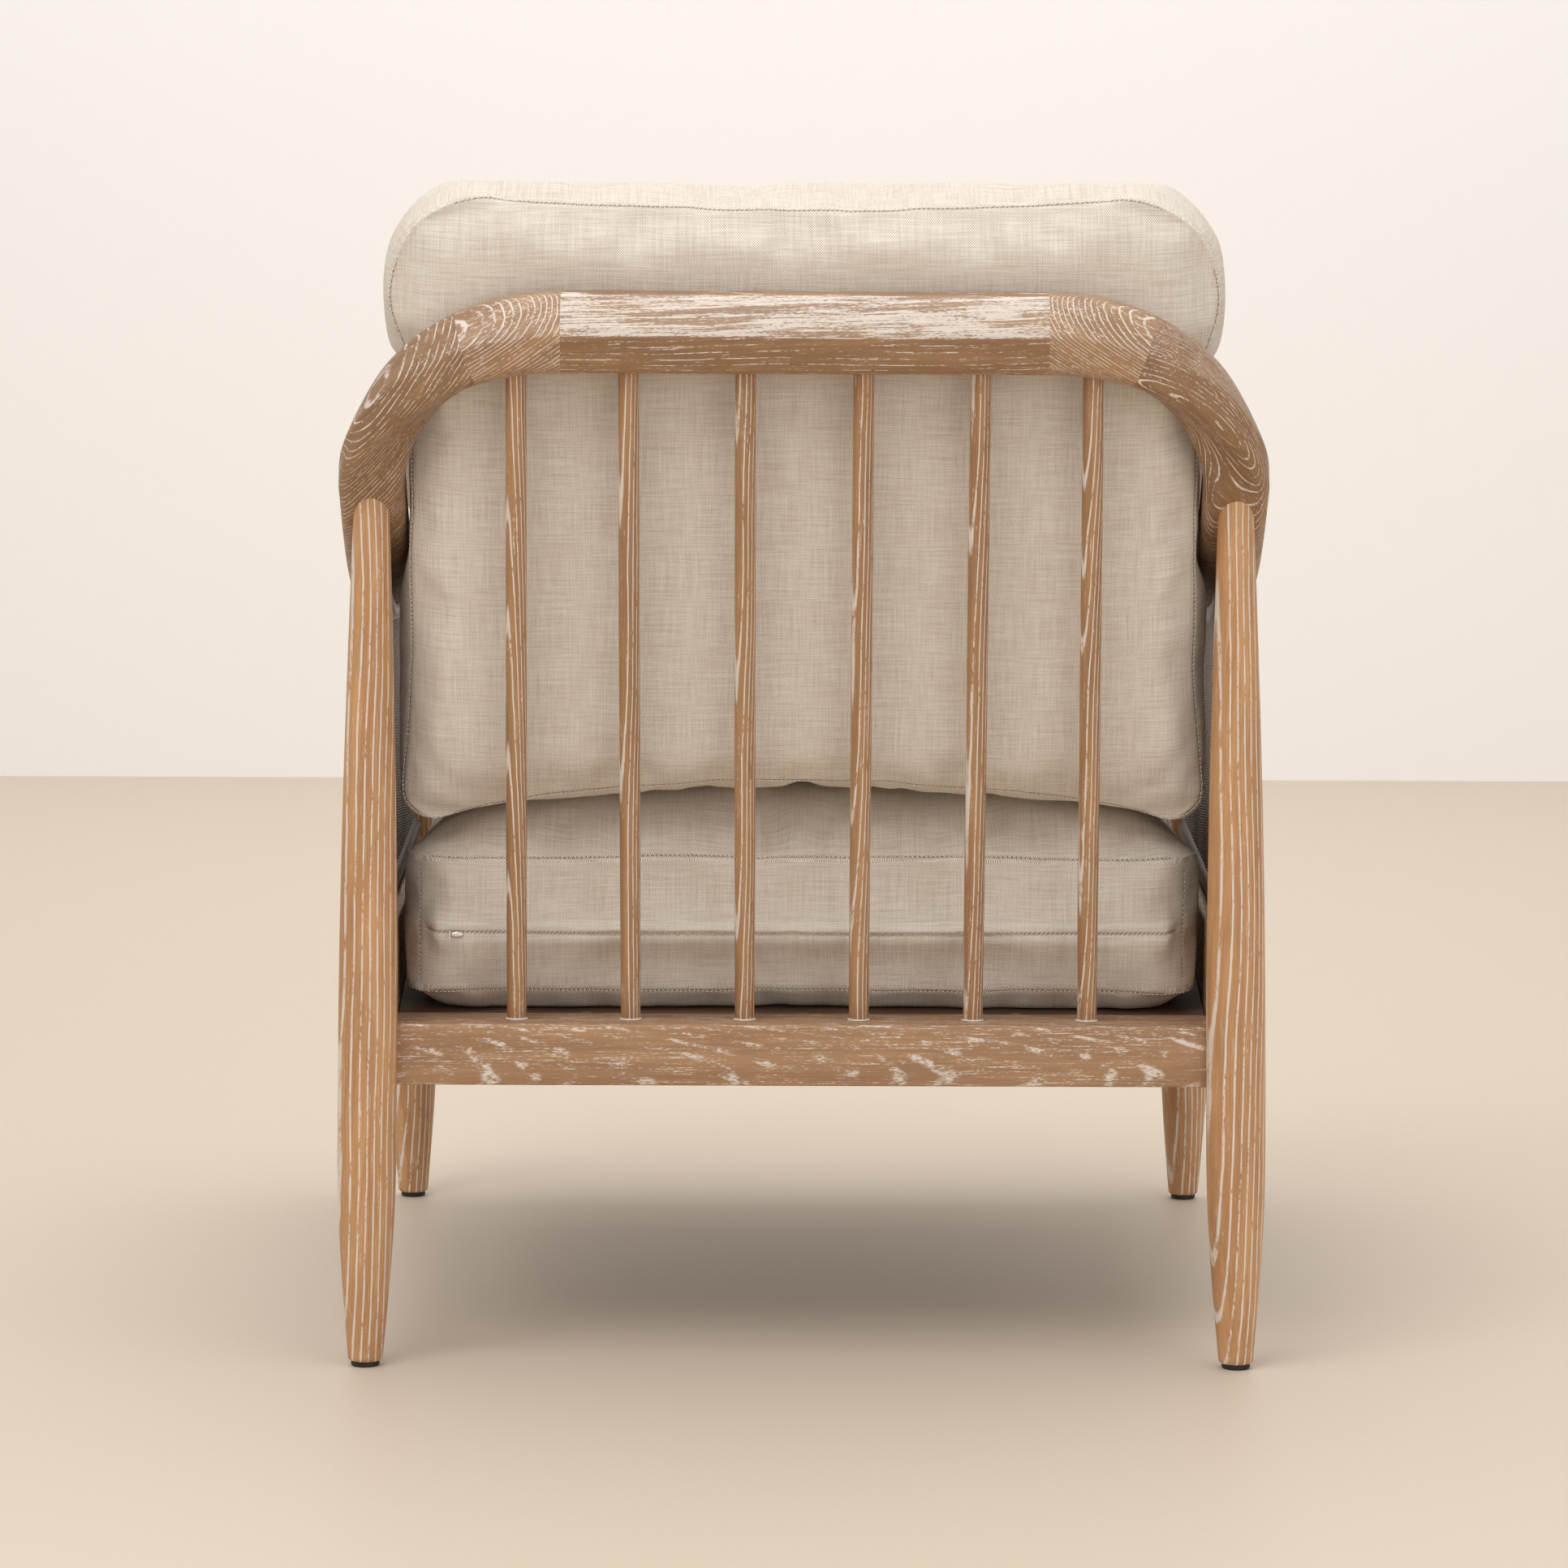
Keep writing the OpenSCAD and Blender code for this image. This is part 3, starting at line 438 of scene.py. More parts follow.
def linen_material(name, cushions, tilt, origin, zip_height=None):
    """Plain weave of thick pale threads. The cushion lies in a frame tilted about X through origin;
    the attribute 'facing' says which way each part of the cover was laid. zip_height is where two
    folded lips meet over a zip in the rear band."""
    material, t, shader = new_material(name)
    place = t.node("ShaderNodeTexCoord").outputs["Object"]
    turned = t.node(
        "ShaderNodeVectorRotate",
        {"Vector": place, "Center": tuple(origin), "Angle": tilt},
        rotation_type="X_AXIS",
    ).outputs[0]
    wave = t.node("ShaderNodeTexNoise", {"Vector": turned, "Scale": 14.0, "Detail": 2.0}).outputs["Color"]
    wave = t.vector("SUBTRACT", wave, (0.5, 0.5, 0.5))
    turned = t.vector("ADD", turned, t.vector("MULTIPLY", wave, (0.004, 0.004, 0.004)))
    x, y, z = t.parts(turned)[0:3]
    fx, fy, fz = t.parts(t.node("ShaderNodeAttribute", attribute_name="facing").outputs["Vector"])[0:3]
    on_side = t.math("MULTIPLY", t.math("GREATER_THAN", fx, fy), t.math("GREATER_THAN", fx, fz))
    on_flat = t.math("MULTIPLY", t.math("GREATER_THAN", fz, fx), t.math("GREATER_THAN", fz, fy))
    u = t.math("ADD", t.math("MULTIPLY", x, t.math("SUBTRACT", 1.0, on_side)), t.math("MULTIPLY", y, on_side))
    v = t.math("ADD", t.math("MULTIPLY", z, t.math("SUBTRACT", 1.0, on_flat)), t.math("MULTIPLY", y, on_flat))
    pitch = 0.00082
    su = t.math("SINE", t.math("MULTIPLY", u, math.pi / pitch))
    sv = t.math("SINE", t.math("MULTIPLY", v, math.pi / pitch))
    checker = t.math("MULTIPLY", su, sv)
    thread = t.math("MULTIPLY", t.math("ABSOLUTE", su), t.math("ABSOLUTE", sv))
    slub_u = t.noise(t.join(t.math("MULTIPLY", u, 26.0), t.math("MULTIPLY", v, 900.0), 0.0), 1.0, 3.0, 0.7)
    slub_v = t.noise(t.join(t.math("MULTIPLY", u, 900.0), t.math("MULTIPLY", v, 26.0), 3.0), 1.0, 3.0, 0.7)
    slub = t.math("ADD", t.math("MULTIPLY", slub_u, 0.55), t.math("MULTIPLY", slub_v, 0.45))
    blotch = t.noise(turned, 9.0, 3.0, 0.55)
    uneven = t.math("MULTIPLY", t.math("SUBTRACT", slub, 0.5), 1.9)
    raised = t.step(t.math("ADD", checker, uneven), -0.78, 0.55)
    colour = t.blend(raised, rgba(cushions.linen_gap), rgba(cushions.linen))
    colour = t.blend(t.math("MULTIPLY", t.step(slub, 0.46, 0.62), 0.20), colour, (0.92, 0.88, 0.82, 1))
    colour = t.blend(t.math("MULTIPLY", t.step(slub, 0.50, 0.36), 0.13), colour, (0.40, 0.30, 0.21, 1))
    colour = t.blend(t.math("MULTIPLY", t.step(blotch, 0.35, 0.75), 0.12), colour, (0.66, 0.56, 0.46, 1))
    crease = t.node("ShaderNodeAttribute", attribute_name="crease").outputs["Fac"]
    if zip_height is not None:
        off = t.math("SUBTRACT", v, zip_height)
        upper = t.math("MULTIPLY", t.step(off, 0.0016, 0.0026), t.step(off, 0.0098, 0.0086))
        lower = t.math("MULTIPLY", t.step(off, -0.0016, -0.0026), t.step(off, -0.0072, -0.0060))
        rear = t.math("GREATER_THAN", y, origin[1] - 0.05)
        rear = t.math("MULTIPLY", rear, t.math("LESS_THAN", t.math("ABSOLUTE", x), 0.258))
        lip = t.math("MULTIPLY", t.math("MAXIMUM", upper, lower), rear)
        # Painted highlight on the raised threads of the two folded lips over the zip.
        painted_lip_highlight = t.math("MULTIPLY", lip, t.math("MULTIPLY_ADD", raised, 0.45, 0.05))
        colour = t.blend(painted_lip_highlight, colour, (0.97, 0.94, 0.89, 1))
    # Painted shade in the seam grooves that 'crease' marks: the cover is drawn darker there, most in dots
    # spaced by stitch.
    stitch = 0.0016
    beat = t.math("SINE", t.math("MULTIPLY", t.math("ADD", u, v), math.pi / stitch))
    seam_shade_dots = t.math("MULTIPLY_ADD", t.step(beat, -0.5, 0.5), -0.55, 0.80)
    colour = t.blend(t.math("MULTIPLY", t.step(crease, 0.25, 0.90), seam_shade_dots), colour, (0.200, 0.138, 0.092, 1))
    t.feed(shader.inputs["Base Color"], colour)
    shader.inputs["Roughness"].default_value = 0.92
    shader.inputs["Specular IOR Level"].default_value = 0.2
    shader.inputs["Sheen Weight"].default_value = 0.12
    height = t.math("ADD", t.math("MULTIPLY", raised, 0.7), t.math("MULTIPLY", thread, 0.3))
    t.feed(shader.inputs["Normal"], t.bump(height, 0.00030, 0.8))
    return material


def cord_material(name, weave):
    """Cord of twisted strands: 'lay' holds the distance along it and the share of a turn round it."""
    material, t, shader = new_material(name)
    lay = t.parts(t.node("ShaderNodeAttribute", attribute_name="lay").outputs["Vector"])
    lay_length, strands = 0.0062, 2.0
    twist = t.math("ADD", t.math("MULTIPLY", lay[0], 1 / lay_length), t.math("MULTIPLY", lay[1], strands))
    twist = t.math("FRACT", twist)
    strand = t.math("ABSOLUTE", t.math("SUBTRACT", t.math("MULTIPLY", twist, 2.0), 1.0))
    place = t.node("ShaderNodeTexCoord").outputs["Object"]
    speckle = t.noise(place, 900.0, 2.0, 0.6)
    tone = t.noise(place, 60.0, 2.0, 0.5)
    uneven = t.math("MULTIPLY", t.math("ADD", speckle, tone), 0.3)
    # Painted light on the twist: the strands' crests are drawn lighter as a painted highlight and the grooves
    # between them darker as painted shade, over real unevenness.
    level = t.math("ADD", t.math("MULTIPLY", strand, 0.45), uneven)
    colour = t.blend(t.step(level, 0.30, 0.85), rgba([c * 0.55 for c in weave.cord]), rgba(weave.cord_strand_highlight))
    colour = t.blend(0.45, colour, rgba(weave.cord))
    t.feed(shader.inputs["Base Color"], colour)
    shader.inputs["Roughness"].default_value = 0.42
    shader.inputs["Specular IOR Level"].default_value = 0.55
    t.feed(shader.inputs["Normal"], t.bump(strand, 0.00045, 0.9))
    return material


def plain_material(name, base, rough, metallic=0.0, speck=0.0):
    """One colour with a little unevenness."""
    material, t, shader = new_material(name)
    place = t.node("ShaderNodeTexCoord").outputs["Object"]
    spots = t.noise(place, 380.0, 3.0, 0.6)
    dark = [c * (1 - speck) for c in base]
    t.feed(shader.inputs["Base Color"], t.blend(t.step(spots, 0.3, 0.7), rgba(dark), rgba(base)))
    shader.inputs["Roughness"].default_value = rough
    shader.inputs["Metallic"].default_value = metallic
    return material


def wall_material(name, base):
    """Matt wall that is clear when looked at from behind, so that it never hides the chair."""
    material, t, shader = new_material(name)
    behind = t.node("ShaderNodeNewGeometry").outputs["Backfacing"]
    shader.inputs["Base Color"].default_value = rgba(base)
    shader.inputs["Roughness"].default_value = 0.9
    t.feed(shader.inputs["Alpha"], t.math("SUBTRACT", 1.0, behind))
    return material


# ---- The bow: crest rail, shoulders, elbows and arms ----
SHOULDER_END = 0.28
ELBOW_END = 1.75


class Bow:
    """The line that the crest rail, elbows and arms follow, and their section along it."""

    def __init__(self, w):
        self.w = w
        slope = math.radians(51.5)
        down = np.array([0, -math.cos(slope), -math.sin(slope)])
        front_end = w.front_y - w.arm_overhang
        arm_rear = w.rear_y - w.bend_length
        self.start = np.array([self.side(arm_rear), arm_rear, w.arm_rear_height])
        self.end = np.array([self.side(front_end), front_end, w.arm_height])
        self.run = np.linalg.norm(self.end - self.start)
        self.along = (self.end - self.start) / self.run
        top = np.array([w.crest_half, w.crest_y, w.crest_height])
        post = np.array([w.side_rear_x, w.rear_y, w.elbow_height])
        self.elbow = (top, top + np.array([0.086, 0, 0]), post - 0.061 * down, post)
        self.drop = (post, post + 0.058 * down, self.start - 0.110 * self.along, self.start)

    def side(self, y):
        """Half width of the frame's side line at y."""
        w = self.w
        return w.side_rear_x + (w.rear_y - y) * (w.front_x - w.side_rear_x) / (w.rear_y - w.front_y)

    def point(self, u):
        if u >= 2:
            return mix(self.start, self.end, u - 2)
        p, t = (self.elbow, u) if u < 1 else (self.drop, u - 1)
        return (1 - t) ** 3 * p[0] + 3 * t * (1 - t) ** 2 * p[1] + 3 * t * t * (1 - t) * p[2] + t ** 3 * p[3]

    def direction(self, u):
        if u >= 2:
            return self.along
        p, t = (self.elbow, u) if u < 1 else (self.drop, u - 1)
        return unit((1 - t) ** 2 * (p[1] - p[0]) + 2 * t * (1 - t) * (p[2] - p[1]) + t * t * (p[3] - p[2]))

    def axes(self, u):
        """Plain outward and upward axes, before the lean."""
        d = self.direction(u)
        out = -unit(np.cross(d, (0, 0, 1)))
        return out, np.cross(d, out)

    def leaned(self, u):
        out, up = self.axes(u)
        a = self.w.recline * (1 - ease(u))
        return out * math.cos(a) - up * math.sin(a), out * math.sin(a) + up * math.cos(a)

    def section(self, u, count=88):
        """Closed outline of the section, and how much lime each point keeps."""
        w = self.w
        ht = mix(w.crest_section, w.arm_thick, ease(u)) / 2
        wd = mix(w.crest_depth, w.arm_width, ease(u)) / 2
        turn = ease(u / 1.6)
        ridge = np.array([wd, ht - mix(0.025, 0.012, turn)])
        brow = np.array([wd - mix(0.021, 0.015, turn), ht])
        across = unit(np.array([ridge[1] - brow[1], brow[0] - ridge[0]]))
        corner = []

        def arc(cx, cy, r, a, b):
            for k in range(9):
                t = math.radians(mix(a, b, k / 8))
                corner.append((cx + r * math.cos(t), cy + r * math.sin(t)))

        arc(wd - 0.009, 0.009 - ht, 0.009, -90, 0)
        first = len(corner)
        for k in range(9):
            corner.append(tuple(mix(ridge, brow, k / 8) - across * 0.002 * 4 * (k / 8) * (1 - k / 8)))
        last = len(corner) - 1
        arc(0.007 - wd, ht - 0.007, 0.007, 90, 180)
        arc(0.009 - wd, 0.009 - ht, 0.009, 180, 270)
        loop = np.array(corner + [corner[0]])
        far = np.concatenate([[0], np.cumsum(np.linalg.norm(np.diff(loop, axis=0), axis=1))])
        at = np.linspace(0, far[-1], count, endpoint=False)
        even = np.stack([np.interp(at, far, loop[:, 0]), np.interp(at, far, loop[:, 1])], 1)
        for _ in range(2):
            even = 0.25 * np.roll(even, 1, 0) + 0.5 * even + 0.25 * np.roll(even, -1, 0)
        on_bevel = ease((at - far[first] + 0.001) / 0.002) * ease((far[last] - at + 0.001) / 0.002)
        return even, on_bevel

    def ring(self, u, size=1.0):
        across, high = self.leaned(u)
        outline, on_bevel = self.section(u)
        return self.point(u) + size * (outline[:, :1] * across + outline[:, 1:] * high), on_bevel


def bow_piece(name, rings, side, material, node, along, shift, heart, lime, ring, cut=(0, -0.28, 0)):
    """One glued-up piece of the bow; side is 1 for the left and -1 for the right. lime gives how
    strongly the pale streaks are drawn on its rear faces and on its bevel; the bevel is drawn paler."""
    outlines = [r[0] for r in rings]
    ends = [rings[0][1].mean(keepdims=True), rings[-1][1].mean(keepdims=True)]
    bevels = np.concatenate([r[1] for r in rings] + ends)
    verts, faces = rings_mesh(outlines)
    verts = verts * np.array([side, 1, 1])
    obj = make(name, verts, faces, material, "frame", (node,), sharp=50)
    along = np.array(along, float) * np.array([side, 1, 1])
    set_grain(obj, along, shift, mix(lime[0], lime[1], bevels), heart, ring, cut)
    return obj


class ARMCHAIR_OT_bow(bpy.types.Operator):
    """Crest rail, shoulders, elbows and arms, glued end to end"""

    bl_idname = "armchair.bow"
    bl_label = "Crest rail, elbows and arms"

    def execute(self, context):
        w = settings("wood")
        oak = look("limed_oak")
        bow = Bow(w)
        first, on_bevel = bow.ring(0)
        crest = []
        for x in np.linspace(-w.crest_half, w.crest_half, 60):
            ring = first.copy()
            ring[:, 0] = x
            crest.append((ring, on_bevel))
        # The crest's bevel is drawn almost white.
        bow_piece("crest_rail_oak", crest, 1, oak, "crest_rail",
                  (1, 0.012, -0.030), (0.31, 0.02, 0.013), (0, 0.62, 1), (0.16, 0.95), 0.0040)
        for side, word in ((1, "left"), (-1, "right")):
            tag = 0.37 * side
            shoulder = [bow.ring(u) for u in np.linspace(0, SHOULDER_END, 26)]
            bow_piece(f"shoulder_{word}_oak", shoulder, side, oak, f"shoulder_{word}",
                      (0.80, -0.10, -0.56), (tag + 0.5, 0.021, 0.03), (0.56, 0.05, 0.80),
                      (0.22, 0.46), 0.0025, (0.5, -0.20, 0))
            elbow = [bow.ring(u) for u in np.linspace(SHOULDER_END, ELBOW_END, 110)]
            bow_piece(f"elbow_{word}_oak", elbow, side, oak, f"elbow_{word}",
                      (0.62, -0.42, -0.66), (tag, 0.043, 0.012 * side),
                      (0.66, 0.1, 0.62) if side > 0 else (0.8, 0.5, 0.5),
                      (0.16, 0.30), 0.0026, (0.3, -0.30, 0))
            arm = [bow.ring(u) for u in np.linspace(ELBOW_END, 2, 16)]
            arm += [bow.ring(u) for u in np.linspace(2.03, 2.94, 40)]
            nose = 0.014
            for turn in np.linspace(0, math.pi / 2, 10):
                back, inset = nose * (1 - math.sin(turn)), nose * (1 - math.cos(turn))
                arm.append(bow.ring(3 - back / bow.run, 1 - 2 * inset / w.arm_width))
            bow_piece(f"arm_{word}_oak", arm, side, oak, f"arm_{word}",
                      (0.02, -1, -0.05), (tag + 0.9, 0.011, 0.034), (0.35, 0, 1), (0.18, 0.60), 0.0042)
        return {"FINISHED"}


# ---- Legs, glides and rails ----
def leg_radius(z, top, w):
    if z < w.belly_low:
        return mix(w.leg_end, w.leg_belly, math.sin(math.pi / 2 * max(z, 0) / w.belly_low)) / 2
    if z <= w.belly_high:
        return w.leg_belly / 2
    share = (z - w.belly_high) / (top - w.belly_high)
    return mix(w.leg_belly, w.leg_end, 1 - math.cos(math.pi / 2 * share)) / 2


class ARMCHAIR_OT_legs(bpy.types.Operator):
    """Four turned legs"""

    bl_idname = "armchair.legs"
    bl_label = "Turned legs"

    def execute(self, context):
        w = settings("wood")
        oak = look("limed_oak")
        front_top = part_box("front_leg_left")[1].z - 0.002
        turn = np.linspace(0, 2 * math.pi, 72, endpoint=False)
        circle = np.stack([np.cos(turn), np.sin(turn), 0 * turn], 1)
        legs = (
            ("rear_leg_left", w.rear_foot_x, w.rear_y, w.elbow_height, w.leg_lean),
            ("rear_leg_right", -w.rear_foot_x, w.rear_y, w.elbow_height, -w.leg_lean),
            ("front_leg_left", w.front_x, w.front_y, front_top, 0.0),
            ("front_leg_right", -w.front_x, w.front_y, front_top, 0.0),
        )
        for k, (node, x, y, top, lean) in enumerate(legs):
            rings = []
            heights = [0.0040, 0.0044, 0.0050] + list(np.linspace(0.007, top, 110))
            for z in heights:
                r = leg_radius(z, top, w) - 0.0010 * (1 - ease((z - 0.0040) / 0.0012))
                rings.append(circle * r + np.array([0, 0, z]))
            verts, faces = rings_mesh(rings)
            spin = np.array(Matrix.Rotation(-lean, 3, "Y"))
            verts = verts @ spin.T + np.array([x, y, 0])
            obj = make(f"{node}_oak", verts, faces, oak, "frame", (node,), sharp=60)
            set_grain(obj, (0.012 * (k - 1.6), 0.010, 1), (0.21 * k, 0.004, 0.017), 0.10,
                      (1, 0.25 + 0.15 * k, 0), 0.0050, (0.85, 0.30, 0), (x, y, 0))
        return {"FINISHED"}


def board(name, low, high, round_r, material, node, along, shift, lime, place=None,
          heart=(0.2, 0.5, 1), cut=(0, 0, 0)):
    """A straight piece of timber with eased edges; place turns it from its own frame into the chair's."""
    box = bmesh.new()
    bmesh.ops.create_cube(box, size=1)
    for v in box.verts:
        v.co = Vector([mix(low[i], high[i], v.co[i] + 0.5) for i in range(3)])
    bmesh.ops.bevel(box, geom=box.edges[:], offset=round_r, segments=4, profile=0.5, affect="EDGES")
    mesh = bpy.data.meshes.new(name)
    box.to_mesh(mesh)
    box.free()
    obj = bpy.data.objects.new(name, mesh)
    bpy.context.scene.collection.objects.link(obj)
    if place is not None:
        mesh.transform(place)
        along = place.to_3x3() @ Vector(along)
    dress(obj, material, "frame", (node,), sharp=40)
    set_grain(obj, along, shift, lime, heart, 0.0045, cut)
    return obj


def side_place(w, side):
    """From a side's own frame, with the rear leg at its origin, to the chair's."""
    turn = math.atan((w.front_x - w.side_rear_x) / (w.rear_y - w.front_y))
    place = Matrix.Translation((w.side_rear_x, w.rear_y, 0)) @ Matrix.Rotation(turn, 4, "Z")
    return place if side > 0 else Matrix.Scale(-1, 4, (1, 0, 0)) @ place


class ARMCHAIR_OT_rails(bpy.types.Operator):
    """Rear, front and side seat rails"""

    bl_idname = "armchair.rails"
    bl_label = "Seat rails"

    def execute(self, context):
        w = settings("wood")
        oak = look("limed_oak")
        low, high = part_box("rear_rail")
        reach = w.rear_foot_x - 0.0185
        board("rear_rail_oak", (-reach, low.y, low.z), (reach, high.y, high.z), 0.0016,
              oak, "rear_rail", (-1, 0.006, 0.004), (0.7, (low.z + high.z) / 2 + 0.003, 0.021), 0.36,
              None, (0, -1, 0.04), (-0.35, -0.10, 1))
        low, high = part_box("front_rail")
        reach = w.front_x - 0.0185
        board("front_rail_oak", (-reach, low.y, low.z), (reach, high.y, high.z), 0.0025,
              oak, "front_rail", (1, -0.004, 0.006), (1.4, 0.05, 0.011), 0.45)
        run = math.hypot(w.rear_y - w.front_y, w.front_x - w.side_rear_x)
        for side, word in ((1, "left"), (-1, "right")):
            low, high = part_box(f"side_rail_{word}")
            obj = board(f"side_rail_{word}_oak", (-0.013, 0.014 - run, low.z), (0.013, -0.014, high.z),
                        0.0020, oak, f"side_rail_{word}", (0, 1, 0.004), (1.9 + side, 0.02, 0.017), 0.45,
                        side_place(w, side))
            if side < 0:
                obj.data.flip_normals()
        return {"FINISHED"}


def line_mesh(name, lines, attributes):
    """A mesh of open polylines; attributes gives (kind, one value for each point)."""
    mesh = bpy.data.meshes.new(name)
    verts, edges = [], []
    for line in lines:
        base = len(verts)
        verts += [tuple(map(float, p)) for p in line]
        edges += [(base + i, base + i + 1) for i in range(len(line) - 1)]
    mesh.from_pydata(verts, edges, [])
    for key, (kind, values) in attributes.items():
        set_attribute(mesh, key, kind, values)
    obj = bpy.data.objects.new(name, mesh)
    bpy.context.scene.collection.objects.link(obj)
    return obj


def grow(obj, tree, values):
    """Runs a geometry tree on obj with these inputs and keeps the result as a plain mesh."""
    modifier = obj.modifiers.new(tree.name, "NODES")
    modifier.node_group = tree
    names = {s.name: s.identifier for s in tree.interface.items_tree if s.in_out == "INPUT"}
    for key, value in values.items():
        modifier[names[key]] = value
    graph = bpy.context.evaluated_depsgraph_get()
    mesh = bpy.data.meshes.new_from_object(obj.evaluated_get(graph), depsgraph=graph)
    obj.modifiers.clear()
    old = obj.data
    obj.data = mesh
    if old.users == 0:
        bpy.data.meshes.remove(old)
    if not mesh.polygons:
        raise RuntimeError(f"{obj.name}: the geometry tree made nothing")
    return obj


def geometry_tree(name, inputs):
    """An empty geometry tree with named inputs, its group input node and a way to end it."""
    tree = bpy.data.node_groups.new(name, "GeometryNodeTree")
    tree.interface.new_socket("Geometry", in_out="INPUT", socket_type="NodeSocketGeometry")
    tree.interface.new_socket("Geometry", in_out="OUTPUT", socket_type="NodeSocketGeometry")
    for key, kind, default in inputs:
        socket = tree.interface.new_socket(key, in_out="INPUT", socket_type=kind)
        if default is not None:
            socket.default_value = default
    given = tree.nodes.new("NodeGroupInput")
    return tree, Tree(tree), given.outputs


def end_tree(t, geometry, material):
    """Ends a geometry tree in Realize Instances and Set Material."""
    real = t.node("GeometryNodeRealizeInstances", {"Geometry": geometry})
    painted = t.node("GeometryNodeSetMaterial", {"Geometry": real, "Material": material})
    out = t.tree.nodes.new("NodeGroupOutput")
    t.tree.links.new(painted.outputs[0], out.inputs[0])


def store(t, geometry, name, value, kind="FLOAT"):
    """Keeps a value on every point of the geometry."""
    made = t.node("GeometryNodeStoreNamedAttribute", {"Geometry": geometry, "Name": name, "Value": value},
                  data_type=kind, domain="POINT")
    return made


def cord_tree():
    """Round cord along lines that swing to either side of their middle by the attribute 'swing'."""
    tree, t, given = geometry_tree("cord along lines", (
        ("Diameter", "NodeSocketFloat", 0.003),
        ("Swing", "NodeSocketFloat", 0.0026),
        ("Sides", "NodeSocketInt", 6),
        ("Material", "NodeSocketMaterial", None),
    ))
    swing = t.node("GeometryNodeInputNamedAttribute", {"Name": "swing"}, data_type="FLOAT_VECTOR").outputs[0]
    moved = t.node("GeometryNodeSetPosition", {
        "Geometry": given["Geometry"],
        "Offset": t.vector("SCALE", swing, scale=given["Swing"]),
    })
    curve = t.node("GeometryNodeMeshToCurve", {"Mesh": moved})
    spline = t.node("GeometryNodeSplineParameter")
    curve = store(t, curve, "far", spline.outputs["Length"])
    ring = t.node("GeometryNodeCurvePrimitiveCircle", {
        "Resolution": given["Sides"], "Radius": t.math("MULTIPLY", given["Diameter"], 0.5)})
    around = t.node("GeometryNodeSplineParameter")
    ring = store(t, ring, "round", around.outputs["Factor"])
    tube = t.node("GeometryNodeCurveToMesh", {"Curve": curve, "Profile Curve": ring, "Fill Caps": True})
    far = t.node("GeometryNodeInputNamedAttribute", {"Name": "far"}, data_type="FLOAT").outputs[0]
    turn = t.node("GeometryNodeInputNamedAttribute", {"Name": "round"}, data_type="FLOAT").outputs[0]
    tube = store(t, tube, "lay", t.join(far, turn, 0.0), "FLOAT_VECTOR")
    end_tree(t, tube.outputs[0], given["Material"])
    return tree


def turned_tree():
    """Turned rods along lines, with the stored grain running along them."""
    tree, t, given = geometry_tree("turned rods", (
        ("Diameter", "NodeSocketFloat", 0.0145),
        ("Taper", "NodeSocketFloat", 0.06),
        ("Sides", "NodeSocketInt", 40),
        ("Lime", "NodeSocketFloat", 0.1),
        ("Ring", "NodeSocketFloat", 0.0042),
        ("Cut", "NodeSocketVector", (0.0, 0.0, 0.0)),
        ("Seed", "NodeSocketInt", 3),
        ("Material", "NodeSocketMaterial", None),
    ))
    curve = t.node("GeometryNodeMeshToCurve", {"Mesh": given["Geometry"]})
    curve = t.node("GeometryNodeResampleCurve", {"Curve": curve, "Count": 40})
    share = t.node("GeometryNodeSplineParameter").outputs["Factor"]
    belly = t.math("SINE", t.math("MULTIPLY", share, math.pi))
    size = t.math("SUBTRACT", 1.0, t.math("MULTIPLY", t.math("SUBTRACT", 1.0, belly), given["Taper"]))
    ring = t.node("GeometryNodeCurvePrimitiveCircle", {
        "Resolution": given["Sides"], "Radius": t.math("MULTIPLY", given["Diameter"], 0.5)})
    tube = t.node("GeometryNodeCurveToMesh", {
        "Curve": curve, "Profile Curve": ring, "Fill Caps": True, "Scale": size})
    place = t.parts(t.node("GeometryNodeInputPosition").outputs[0])
    island = t.node("GeometryNodeInputMeshIsland").outputs["Island Index"]
    own = t.node("FunctionNodeRandomValue", {"ID": island, "Seed": given["Seed"]}, data_type="FLOAT")
    shift = t.math("MULTIPLY", own.outputs[1], 7.0)
    tipped = t.math("MULTIPLY", t.math("MULTIPLY", t.math("SUBTRACT", own.outputs[1], 0.5), 0.05), place[2])
    upright = t.math("ADD", place[1], t.math("MULTIPLY", place[2], -0.19))
    grain = t.join(t.math("ADD", place[2], shift), upright, t.math("ADD", place[0], tipped))
    tube = store(t, tube, "grain", grain, "FLOAT_VECTOR")
    tube = store(t, tube, "lime", given["Lime"])
    tube = store(t, tube, "ring", given["Ring"])
    tube = store(t, tube, "cut", given["Cut"], "FLOAT_VECTOR")
    end_tree(t, tube.outputs[0], given["Material"])
    return tree


